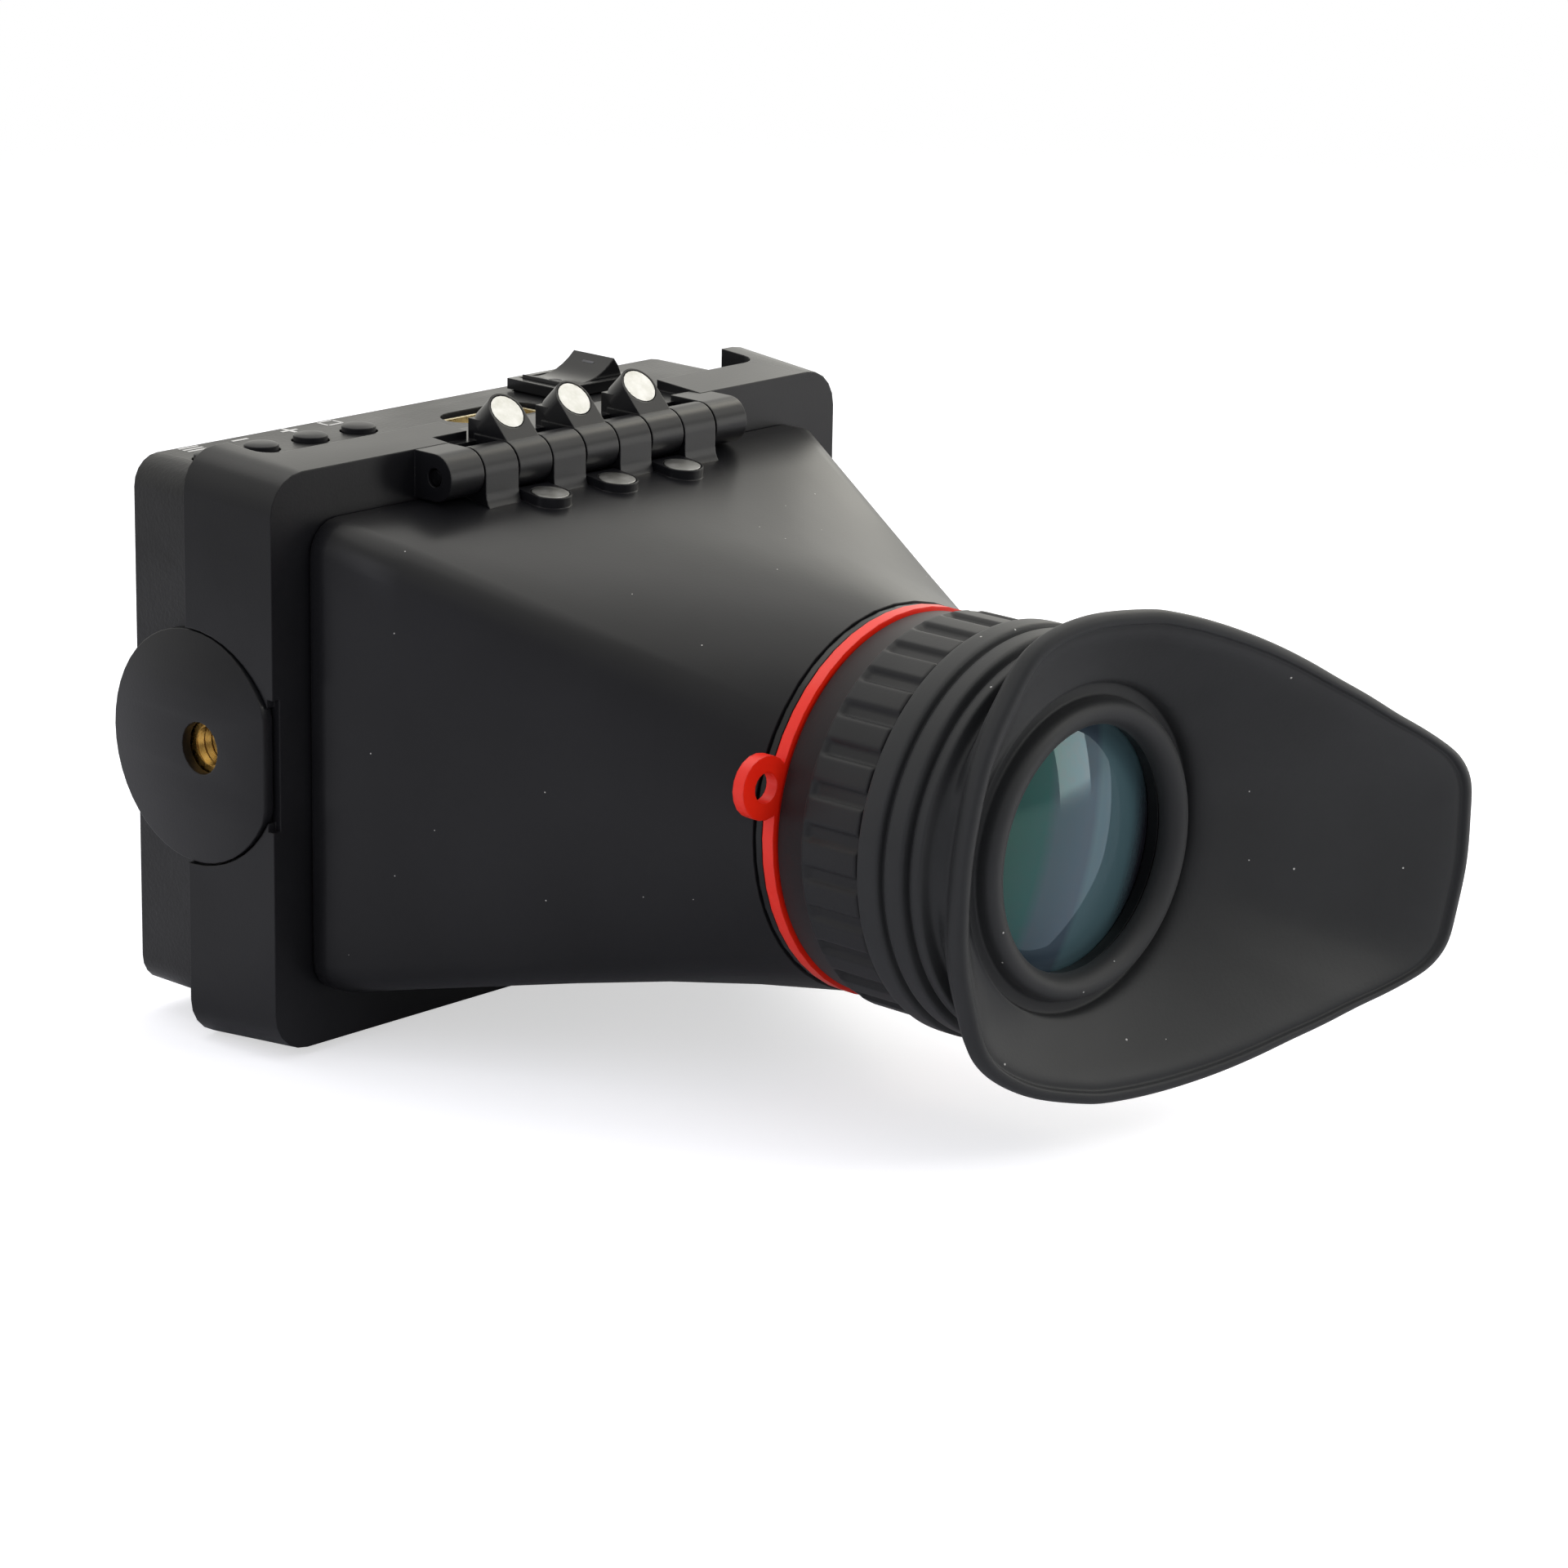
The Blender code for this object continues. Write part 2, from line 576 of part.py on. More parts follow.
def make_frame():
    """The sleeve with its brackets, knuckles and magnet ears."""
    frame = loft("front_frame", [frame_section(0.0), frame_section(FRAME_DEPTH)], SATIN_BLACK, caps=True)
    half_width = FRAME_CAVITY_HALF_WIDTH
    half_height = MODULE_TOP + GAP
    rear = FRAME_DEPTH + OVERRUN
    cavity = round_corners(half_width, half_height, MODULE_CORNER + GAP)
    opening = round_corners(PICTURE_HALF_WIDTH, PICTURE_HALF_HEIGHT, PICTURE_OPENING_CORNER)
    notch_middle = (0.0, NOTCH_FRONT + FRAME_DEPTH)
    notch = round_corners(NOTCH_HALF_WIDTH, FRAME_DEPTH, NOTCH_CORNER, middle=notch_middle)
    above = FRAME_HEIGHT / 2 + FRAME_GROWTH + OVERRUN
    cut(frame,
        plate("frame_cavity", [cavity], FRAME_FACE_WALL, rear, "Y"),
        plate("frame_opening", [opening], -OVERRUN, rear, "Y"),
        plate("frame_notch", [notch], half_height - OVERRUN, above, "Z"))
    knuckle_left = knuckle_span(1)[0] - GAP
    ear_left = knuckle_span(2)[0] - GAP
    channel = [(knuckle_left, -OVERRUN), (CHANNEL_RIGHT, -OVERRUN), (CHANNEL_RIGHT, rear), (ear_left, rear),
               (ear_left, CHANNEL_STEP_Y), (knuckle_left, CHANNEL_STEP_Y)]
    top = FRAME_HEIGHT / 2
    cut(frame,
        plate("frame_channel", [channel], top - CHANNEL_DROP, above, "Z"),
        block("frame_pocket", (knuckle_left, -OVERRUN, top - POCKET_DROP),
              (-knuckle_left, POCKET_DEPTH, above)))
    pocket_floor = DISC_FACE_X - DISC_OUTER_THICKNESS - GAP
    outside = FRAME_WIDTH / 2 + FRAME_GROWTH + OVERRUN
    shallow = disc_outline(DISC_RADIUS + GAP, -OVERRUN)
    through = disc_outline(DISC_RADIUS + GAP, MODULE_FRONT)
    for side, word in ((-1, "left"), (1, "right")):
        spans = sorted((side * pocket_floor, side * outside))
        deep = sorted((side * (half_width - OVERRUN), side * outside))
        cut(frame,
            plate("frame_disc_pocket_" + word, [shallow], *spans, "X"),
            plate("frame_disc_hole_" + word, [through], *deep, "X"),
            block("frame_disc_relief_" + word, (spans[0], -OVERRUN, DISC_Z - RELIEF_HALF_HEIGHT),
                  (spans[1], DISC_CHORD_Y, DISC_Z + RELIEF_HALF_HEIGHT)))
    for index in range(0, KNUCKLE_COUNT, 2):
        low_x, high_x = knuckle_span(index)
        join(frame, plate("frame_knuckle_%d" % index, [knuckle_outline()], low_x, high_x, "X"))
    for index in range(2, KNUCKLE_COUNT - 2, 2):
        low_x, high_x = knuckle_span(index)
        root_low = (low_x + 2 * EAR_INSET, EAR_ROOT_FRONT, top - CHANNEL_DROP - GAP)
        root_high = (high_x - 2 * EAR_INSET, EAR_ROOT_FRONT + EAR_ROOT_DEPTH, top + EAR_ROOT_RISE)
        tab = ear_tab("frame_ear_%d" % index, index, FRAME_EAR_NORMAL, EAR_FACE_OFFSET,
                      FRAME_EAR_THICKNESS, 0.0)
        pocket = magnet("frame_magnet_pocket_%d" % index, index, FRAME_EAR_NORMAL, EAR_FACE_OFFSET, room=GAP)
        join(frame, block("frame_ear_root_%d" % index, root_low, root_high), cut(tab, pocket))
    return cut(frame, pin_bore("frame_pin_bore"))


def pin_bore(name):
    """The bore for the hinge pin through every knuckle."""
    length = HINGE_LENGTH + OVERRUN
    return rod(name, PIN_BORE_RADIUS, (-length / 2, HINGE_Y, HINGE_Z), length, (1.0, 0.0, 0.0))


def hood_rim(inset):
    """The hood's rim, drawn in by a wall: x, z and the turn on the round neck that each point runs to."""
    radius = HOOD_CORNER - inset
    across = HOOD_HALF_WIDTH - inset - radius
    rises = (HOOD_TOP - inset - radius, HOOD_BOTTOM - inset - radius)
    targets = ((1, 1, NECK_TOP_CORNER), (-1, 1, math.pi - NECK_TOP_CORNER),
               (-1, -1, math.pi + NECK_BOTTOM_CORNER), (1, -1, 2 * math.pi - NECK_BOTTOM_CORNER))
    corners = []
    for quarter, (side, up, target) in enumerate(targets):
        rise = rises[0] if up == 1 else -rises[1]
        corners.append([])
        for step in range(CORNER_STEPS + 1):
            angle = math.pi / 2 * (quarter + step / CORNER_STEPS)
            turn = target + NECK_CORNER_SPREAD * (2 * step / CORNER_STEPS - 1)
            x = side * across + radius * math.cos(angle)
            corners[-1].append((x, rise + radius * math.sin(angle), turn))
    rim = []
    for corner, after in zip(corners, corners[1:] + corners[:1]):
        begin, end = Vector(corner[-1]), Vector(after[0])
        if end.z < begin.z:
            end.z += 2 * math.pi
        rim += corner + [tuple(begin.lerp(end, step / SPAN_STEPS)) for step in range(1, SPAN_STEPS)]
    return rim


def hood_section(distance, inset):
    """The hood's section at a distance in front of the frame: straight lines from the rim to the neck."""
    share = max(distance - HOOD_RIM, 0.0) / (HOOD_LENGTH - HOOD_RIM)
    radius = NECK_RADIUS - inset
    section = []
    for x, z, turn in hood_rim(inset):
        neck_x = radius * math.cos(turn)
        neck_z = radius * math.sin(turn) - EYE_DROP
        section.append((x + (neck_x - x) * share, -distance, z + (neck_z - z) * share))
    return section


def neck_circle(radius, distance):
    """A circle about the eyepiece axis with the same points as the hood's sections."""
    return [(x, -distance, z) for x, _, z in hood_section(HOOD_LENGTH, NECK_RADIUS - radius)]


def make_hood():
    """The tapering hood with its spigot, hinge knuckles and magnet ears."""
    distances = [GAP, HOOD_RIM]
    distances += [HOOD_RIM + (HOOD_LENGTH - HOOD_RIM) * share for share in HOOD_STAGE_SHARES]
    outer = [hood_section(distance, 0.0) for distance in distances]
    back_wall = HOOD_LENGTH - SPIGOT_ROOT
    inner = [hood_section(distance, HOOD_WALL) for distance in distances[:-1] + [back_wall]]
    spigot_end = HOOD_LENGTH + SPIGOT_LENGTH
    neck = [neck_circle(SPIGOT_RADIUS, HOOD_LENGTH), neck_circle(SPIGOT_RADIUS, spigot_end),
            neck_circle(SPIGOT_INNER, spigot_end), neck_circle(SPIGOT_INNER, back_wall)]
    hood = loft("hood", outer + neck + inner[::-1], SATIN_BLACK, around=True)
    for index in range(1, KNUCKLE_COUNT, 2):
        low_x, high_x = knuckle_span(index)
        join(hood, plate("hood_knuckle_%d" % index, [hood_knuckle_outline()], low_x, high_x, "X"))
    reach = math.sqrt((KNUCKLE_RADIUS + GAP) ** 2 - EAR_FACE_OFFSET ** 2) + GAP
    for index in range(2, KNUCKLE_COUNT - 2, 2):
        tab = ear_tab("hood_ear_%d" % index, index, HOOD_EAR_NORMAL, -EAR_FACE_OFFSET,
                      HOOD_EAR_THICKNESS, reach)
        pocket = magnet("hood_magnet_pocket_%d" % index, index, HOOD_EAR_NORMAL, -EAR_FACE_OFFSET, room=GAP)
        cut(join(hood, tab), pocket)
    return cut(hood, pin_bore("hood_pin_bore"))


def hood_knuckle_outline():
    """A hood knuckle with its foot, which flares forwards onto the hood in an S-curve."""
    arc = [(HINGE_Y - KNUCKLE_RADIUS * math.sin(turn), HINGE_Z + KNUCKLE_RADIUS * math.cos(turn))
           for turn in (math.radians(angle) for angle in range(-75, 91, 15))]
    front = HINGE_Y - KNUCKLE_RADIUS
    foot_front = HINGE_Y - FOOT_REACH
    flare = front - foot_front
    curve_top = HOOD_TOP + (flare - FOOT_SINK) / 2
    flow = [(foot_front + flare * math.cos(turn), curve_top - flare * math.sin(turn))
            for turn in (math.radians(angle) for angle in range(0, 91, 15))]
    back = HINGE_Y + KNUCKLE_RADIUS - GAP
    return [(back, HOOD_TOP - FOOT_SINK), (back, arc[0][1])] + arc[1:] + flow


def make_hinge():
    """The pin and the six magnets."""
    length = HINGE_LENGTH - GAP - 2 * PIN_RECESS
    rod("hinge_pin", PIN_RADIUS, (-length / 2, HINGE_Y, HINGE_Z), length, (1.0, 0.0, 0.0), STEEL)
    for order, index in enumerate(range(2, KNUCKLE_COUNT - 2, 2), start=1):
        magnet("frame_magnet_%d" % order, index, FRAME_EAR_NORMAL, EAR_FACE_OFFSET, NICKEL)
        magnet("hood_magnet_%d" % order, index, HOOD_EAR_NORMAL, -EAR_FACE_OFFSET, NICKEL)


def key_places():
    return [KEY_FIRST_X + KEY_PITCH * order for order in range(KEY_COUNT)]


def make_housing():
    """The module's shell: front lip, four walls, screw posts and the holes in its top and sides."""
    outline = round_corners(MODULE_WIDTH / 2, MODULE_HEIGHT / 2, MODULE_CORNER)
    housing = plate("rear_housing", [outline], MODULE_FRONT, MODULE_REAR, "Y", SATIN_BLACK)
    inside = round_corners(MODULE_WIDTH / 2 - MODULE_WALL, INNER_TOP, MODULE_CORNER - MODULE_WALL)
    window = round_corners(WINDOW_HALF_WIDTH, WINDOW_HALF_HEIGHT, WINDOW_OPENING_CORNER)
    cut(housing,
        plate("housing_inside", [inside], LIP_BACK, MODULE_REAR + OVERRUN, "Y"),
        plate("housing_window", [window], -OVERRUN, MODULE_REAR, "Y"))
    low = INNER_TOP - OVERRUN
    high = MODULE_TOP + OVERRUN
    for order, place in enumerate(key_places(), start=1):
        cut(housing, plate("key_hole_%d" % order, [circle(KEY_RADIUS + GAP, (place, KEY_Y))], low, high, "Z"))
    half_slot = SOCKET_THICKNESS / 2 + SOCKET_OPENING_MARGIN
    half_slot_width = SOCKET_WIDTH / 2 + SOCKET_OPENING_MARGIN
    slot = round_corners(half_slot_width, half_slot, half_slot, middle=(SOCKET_X, SOCKET_Y))
    switch_hole = rectangle(ROCKER_X - ROCKER_BODY_LENGTH / 2 - GAP, ROCKER_X + ROCKER_BODY_LENGTH / 2 + GAP,
                            ROCKER_Y - ROCKER_BODY_WIDTH / 2 - GAP, ROCKER_Y + ROCKER_BODY_WIDTH / 2 + GAP)
    cut(housing,
        plate("socket_slot", [slot], low, high, "Z"),
        plate("switch_hole", [switch_hole], low, high, "Z"))
    for side, word in ((-1, "left"), (1, "right")):
        start = (side * (MODULE_WIDTH / 2 - MODULE_WALL - OVERRUN), THREAD_Y, DISC_Z)
        hole = rod("housing_side_hole_" + word, DISC_BOSS_RADIUS + GAP, start, MODULE_WALL + 2 * OVERRUN,
                   (side, 0.0, 0.0))
        cut(housing, hole)
    post_start = MODULE_FRONT + MODULE_WALL / 2
    for order, (x, z) in enumerate(screw_places(), start=1):
        post = rod("screw_post_%d" % order, POST_RADIUS, (x, post_start, z), COVER_INNER - GAP - post_start,
                   (0.0, 1.0, 0.0))
        bore_start = COVER_INNER - SCREW_LENGTH - GAP
        bore = rod("screw_bore_%d" % order, SCREW_RADIUS + GAP, (x, bore_start, z), SCREW_LENGTH + OVERRUN,
                   (0.0, 1.0, 0.0))
        cut(join(housing, post), bore)
    return housing


def screw_places():
    return [(x, z) for x in (-SCREW_X, SCREW_X) for z in (SCREW_Z, -SCREW_Z)]


def make_cover():
    """The rear cover with its board posts, screws and the power jack."""
    half_width = MODULE_WIDTH / 2 - MODULE_WALL - GAP
    outline = round_corners(half_width, INNER_TOP - GAP, MODULE_CORNER - MODULE_WALL)
    cover = plate("rear_cover", [outline], COVER_INNER, COVER_OUTER, "Y", SATIN_BLACK)
    cut(cover, plate("jack_hole", [circle(JACK_RADIUS + GAP, (JACK_X, JACK_Z))], COVER_INNER - OVERRUN,
                     MODULE_REAR + OVERRUN, "Y"))
    seat = COVER_OUTER - SCREW_HEAD_HEIGHT - COVER_RECESS
    for order, (x, z) in enumerate(screw_places(), start=1):
        hole = plate("cover_hole_%d" % order, [circle(SCREW_RADIUS + GAP, (x, z))], COVER_INNER - OVERRUN,
                     MODULE_REAR, "Y")
        sink = plate("cover_sink_%d" % order, [circle(SCREW_HEAD_RADIUS + GAP, (x, z))], seat,
                     MODULE_REAR + OVERRUN, "Y")
        cut(cover, hole, sink)
        head = seat + GAP
        profile = ((0.0, SCREW_HEAD_HEIGHT), (SCREW_HEAD_RADIUS, SCREW_HEAD_HEIGHT), (SCREW_HEAD_RADIUS, 0.0),
                   (SCREW_RADIUS, 0.0), (SCREW_RADIUS, COVER_INNER - SCREW_LENGTH + GAP - head),
                   (0.0, COVER_INNER - SCREW_LENGTH + GAP - head))
        turned("cover_screw_%d" % order, profile, (x, head, z), (0.0, 1.0, 0.0), STEEL, SMALL_STEPS)
    for order, (x, z) in enumerate(board_places(), start=1):
        post = rod("board_post_%d" % order, BOARD_POST_RADIUS, (x, BOARD_BACK + GAP, z),
                   COVER_INNER + GAP - BOARD_BACK, (0.0, 1.0, 0.0))
        join(cover, post)
    height = JACK_LENGTH
    profile = ((JACK_PIN_RADIUS, height - JACK_PIN_SHORT), (JACK_PIN_RADIUS, height - JACK_BORE_DEPTH),
               (JACK_BORE_RADIUS, height - JACK_BORE_DEPTH), (JACK_BORE_RADIUS, height),
               (JACK_RADIUS, height), (JACK_RADIUS, 0.0), (0.0, 0.0))
    turned("power_jack", ((0.0, height - JACK_PIN_SHORT), *profile), (JACK_X, COVER_OUTER - height, JACK_Z),
           (0.0, 1.0, 0.0), SOCKET_BLACK, SMALL_STEPS)
    return cover


def board_places():
    return [(x, z) for x in (-BOARD_POST_X, BOARD_POST_X) for z in (BOARD_POST_Z, -BOARD_POST_Z)]


def layer(name, half_width, half_height, front, thickness, material):
    """A flat rectangular layer of the display stack."""
    outline = rectangle(-half_width, half_width, -half_height, half_height)
    return plate(name, [outline], front, front + thickness, "Y", material)


def make_display():
    """Window, panel, backlight and main board, one behind another."""
    half_width = WINDOW_HALF_WIDTH + WINDOW_MARGIN
    half_height = WINDOW_HALF_HEIGHT + WINDOW_MARGIN
    layer("display_window", half_width, half_height, WINDOW_FRONT, WINDOW_THICKNESS, CLEAR)
    layer("lcd_panel", half_width - GAP, half_height - GAP, PANEL_FRONT, PANEL_THICKNESS, PANEL_BLACK)
    layer("backlight", half_width - GAP, half_height - GAP, BACKLIGHT_FRONT, BACKLIGHT_THICKNESS,
          WHITE_PLASTIC)
    board = layer("main_board", BOARD_HALF_WIDTH, BOARD_HALF_HEIGHT, BOARD_FRONT, BOARD_THICKNESS,
                  BOARD_GREEN)
    chip = block("main_chip", (-CHIP_SIDE / 2, BOARD_FRONT + GAP, -CHIP_SIDE / 2),
                 (CHIP_SIDE / 2, BOARD_BACK + CHIP_HEIGHT, CHIP_SIDE / 2))
    join(board, chip)


def make_keys():
    """Four push keys, their switches and the small board that carries them."""
    key_bottom = INNER_TOP - GAP - KEY_FLANGE_HEIGHT
    plunger_top = key_bottom - KEY_TRAVEL - THROW_GAP / 3
    switch_bottom = plunger_top - PLUNGER_HEIGHT - SWITCH_HEIGHT
    crown = MODULE_TOP + KEY_PROUD + KEY_CROWN - key_bottom
    edge = MODULE_TOP + KEY_PROUD - key_bottom
    profile = [(0.0, crown)]
    profile += [(KEY_RADIUS * math.sin(turn), edge + KEY_CROWN * math.cos(turn))
                for turn in (math.radians(angle) for angle in (30, 60, 90))]
    profile += [(KEY_RADIUS, KEY_FLANGE_HEIGHT), (KEY_FLANGE_RADIUS, KEY_FLANGE_HEIGHT),
                (KEY_FLANGE_RADIUS, 0.0), (0.0, 0.0)]
    half = SWITCH_SIDE / 2
    for order, place in enumerate(key_places(), start=1):
        turned("key_%d" % order, profile, (place, KEY_Y, key_bottom), (0.0, 0.0, 1.0), KEY_BLACK, SMALL_STEPS)
        base = block("tact_switch_%d" % order, (place - half, KEY_Y - half, switch_bottom),
                     (place + half, KEY_Y + half, switch_bottom + SWITCH_HEIGHT), SWITCH_GREY)
        plunger = rod("plunger_%d" % order, PLUNGER_RADIUS, (place, KEY_Y, switch_bottom + SWITCH_HEIGHT / 2),
                      PLUNGER_HEIGHT + SWITCH_HEIGHT / 2, (0.0, 0.0, 1.0))
        join(base, plunger)
    left = -MODULE_WIDTH / 2 + MODULE_WALL + GAP
    right = key_places()[-1] + SWITCH_SIDE
    top = switch_bottom - GAP
    rear = COVER_INNER - GAP
    block("key_board", (left, rear - KEY_BOARD_DEPTH, top - BOARD_THICKNESS), (right, rear, top), BOARD_GREEN)


def make_socket():
    """The signal socket: a metal shell with a tongue standing from its floor."""
    top = MODULE_TOP - SOCKET_RECESS
    half_width = SOCKET_WIDTH / 2
    half_depth = SOCKET_THICKNESS / 2
    middle = (SOCKET_X, SOCKET_Y)
    outline = round_corners(half_width, half_depth, SOCKET_CORNER, middle=middle)
    shell = plate("signal_socket", [outline], top - SOCKET_DEPTH, top, "Z", GOLD)
    floor = top - SOCKET_DEPTH + SOCKET_FLOOR
    inside = round_corners(half_width - SOCKET_SHELL, half_depth - SOCKET_SHELL, SOCKET_CORNER - SOCKET_SHELL,
                           middle=middle)
    well = plate("socket_well", [inside], floor, top + OVERRUN, "Z")
    tongue_low = (SOCKET_X - TONGUE_WIDTH / 2, SOCKET_Y - TONGUE_THICKNESS / 2, floor - SOCKET_SHELL)
    tongue_high = (SOCKET_X + TONGUE_WIDTH / 2, SOCKET_Y + TONGUE_THICKNESS / 2, top - TONGUE_SHORT)
    tongue = block("socket_tongue", tongue_low, tongue_high)
    return join(cut(shell, well), tongue)


def make_rocker():
    """The switch body with its bezel, and the rocker that tips about Y in it."""
    pivot = MODULE_TOP + BEZEL_HEIGHT - ROCKER_PIVOT_DROP
    half_length = ROCKER_BODY_LENGTH / 2
    half_width = ROCKER_BODY_WIDTH / 2
    bottom = MODULE_TOP - ROCKER_BODY_DEPTH
    body = block("switch_body", (ROCKER_X - half_length, ROCKER_Y - half_width, bottom),
                 (ROCKER_X + half_length, ROCKER_Y + half_width, MODULE_TOP + BEZEL_HEIGHT / 2), GLOSS_BLACK)
    bezel = block("switch_bezel", (ROCKER_X - BEZEL_LENGTH / 2, ROCKER_Y - BEZEL_WIDTH / 2, MODULE_TOP + GAP),
                  (ROCKER_X + BEZEL_LENGTH / 2, ROCKER_Y + BEZEL_WIDTH / 2, MODULE_TOP + BEZEL_HEIGHT))
    room = ROCKER_WIDTH / 2 + GAP
    well = rod("switch_well", ROCKER_RADIUS + GAP, (ROCKER_X, ROCKER_Y - room, pivot), 2 * room,
               (0.0, 1.0, 0.0), steps=ROUND_STEPS // 2)
    cut(join(body, bezel), well)
    start = math.pi - ROCKER_RIDGE_ANGLE
    sweep = math.pi + 2 * ROCKER_RIDGE_ANGLE
    outline = [(ROCKER_RADIUS * math.cos(turn), ROCKER_RADIUS * math.sin(turn))
               for turn in (start + sweep * step / SMALL_STEPS for step in range(SMALL_STEPS + 1))]
    ridge_x, ridge_z = outline[-1]
    dish = [(ridge_x * share, ROCKER_VALLEY + (ridge_z - ROCKER_VALLEY) * share * share)
            for share in (0.75, 0.5, 0.25, 0.0, -0.25, -0.5, -0.75)]
    cosine, sine = math.cos(ROCKER_TILT), math.sin(ROCKER_TILT)
    tipped = [(x * cosine - z * sine, x * sine + z * cosine) for x, z in outline + dish]
    rocker = plate("rocker", [tipped], -ROCKER_WIDTH / 2, ROCKER_WIDTH / 2, "Y", GLOSS_BLACK)
    rocker.location = (ROCKER_X, ROCKER_Y, pivot)
    return rocker


def make_side_mounts():
    """The round mounting discs and their threaded brass inserts."""
    step_x = DISC_FACE_X - DISC_OUTER_THICKNESS
    inner_x = MODULE_WIDTH / 2 + GAP
    insert_outer = DISC_FACE_X - THREAD_MOUTH_DEPTH - GAP
    insert_length = THREAD_PITCH * THREAD_TURNS
    boss_inner = insert_outer - insert_length - GAP
    for side, word in ((-1, "left"), (1, "right")):
        disc = plate("side_disc_" + word, [disc_outline(DISC_RADIUS, DISC_CHORD_Y)],
                     *sorted((side * step_x, side * DISC_FACE_X)), "X", SATIN_BLACK)
        edge = disc.modifiers.new("soft_edge", "BEVEL")
        edge.width = DISC_EDGE
        edge.segments = 2
        edge.limit_method = "ANGLE"
        edge.angle_limit = math.radians(40.0)
        neck = plate("disc_neck_" + word, [disc_outline(DISC_RADIUS - DISC_EDGE, MODULE_FRONT + GAP)],
                     *sorted((side * inner_x, side * (step_x + DISC_EDGE))), "X")
        boss = rod("disc_boss_" + word, DISC_BOSS_RADIUS, (side * boss_inner, THREAD_Y, DISC_Z),
                   step_x - boss_inner, (side, 0.0, 0.0))
        start = (side * (boss_inner - OVERRUN), THREAD_Y, DISC_Z)
        mouth = rod("disc_mouth_" + word, THREAD_MOUTH_RADIUS, start,
                    DISC_FACE_X - boss_inner + 2 * OVERRUN, (side, 0.0, 0.0))
        seat = rod("insert_seat_" + word, INSERT_RADIUS + GAP, start,
                   insert_outer + GAP - boss_inner + OVERRUN, (side, 0.0, 0.0))
        cut(join(disc, neck, boss), mouth, seat)
        threads = [(THREAD_MINOR_RADIUS, 0.0)]
        for turn in range(THREAD_TURNS):
            threads += [(THREAD_MAJOR_RADIUS, (turn + 0.5) * THREAD_PITCH),
                        (THREAD_MINOR_RADIUS, (turn + 1) * THREAD_PITCH)]
        profile = [(INSERT_RADIUS, insert_length), (INSERT_RADIUS, 0.0)] + threads
        turned("thread_insert_" + word, profile, (side * (insert_outer - insert_length), THREAD_Y, DISC_Z),
               (side, 0.0, 0.0), BRASS, SMALL_STEPS, ring=True)


def make_rings():
    """The dark neck ring and the strap ring with its tab."""
    near = HOOD_LENGTH + GAP
    ring_rod("neck_ring", RING_RADIUS - GAP / 2, RING_BORE, near, near + NECK_RING_WIDTH, GLOSS_BLACK)
    middle = (0.0, -EYE_DROP)
    back = -STRAP_RING_BACK
    front = back - STRAP_RING_WIDTH
    strap = plate("strap_ring", [circle(RING_RADIUS, middle, ROUND_STEPS)], front, back, "Y", RED)
    tab_middle = (TAB_CENTRE_RADIUS * math.cos(TAB_ANGLE), TAB_CENTRE_RADIUS * math.sin(TAB_ANGLE) - EYE_DROP)
    tab = plate("strap_tab", [circle(TAB_RADIUS, tab_middle)], front, back, "Y")
    hole = plate("strap_hole", [circle(TAB_HOLE_RADIUS, tab_middle)], front - OVERRUN, back + OVERRUN, "Y")
    bore = plate("strap_bore", [circle(RING_BORE, middle, ROUND_STEPS)], front - OVERRUN, back + OVERRUN, "Y")
    return cut(join(strap, tab), hole, bore)


def grip_radius(turn):
    """The fluted outside of the focus grip."""
    share = (turn * GRIP_FLUTES / (2 * math.pi)) % 1.0
    return GRIP_RADIUS - FLUTE_DEPTH * (1.0 if share > 0.4 else 0.0)


def make_focus_ring():
    """The focus ring: a plain band, a fluted grip and a lip over the spigot's end."""
    points = GRIP_FLUTES * 4
    turns = [2 * math.pi * step / points for step in range(points)]

    def ring(radius, distance):
        return [(radius * math.cos(turn), -distance, radius * math.sin(turn) - EYE_DROP) for turn in turns]

    def fluted(distance):
        return [(grip_radius(turn) * math.cos(turn), -distance, grip_radius(turn) * math.sin(turn) - EYE_DROP)
                for turn in turns]

    band_front = FOCUS_BACK + FOCUS_BAND_WIDTH
    lip_back = FOCUS_FRONT - GRIP_LIP
    rings = [ring(RING_BORE, FOCUS_BACK), ring(FOCUS_BAND_RADIUS, FOCUS_BACK),
             ring(FOCUS_BAND_RADIUS, band_front), fluted(band_front + GAP), fluted(FOCUS_FRONT),
             ring(GRIP_LIP_RADIUS, FOCUS_FRONT),
             ring(GRIP_LIP_RADIUS, lip_back), ring(RING_BORE, lip_back)]
    return loft("focus_ring", rings, RUBBER, around=True)


def lens_profile(edge, bulge, steps=4):
    """A biconvex lens with a flat rim, between its two vertices, outer side downwards."""
    front = [(LENS_CLEAR_RADIUS * share, edge / 2 + bulge * (1.0 - share * share))
             for share in (step / steps for step in range(steps + 1))]
    front.append((LENS_SEAT_RADIUS, edge / 2))
    return front + [(r, -z) for r, z in reversed(front)]


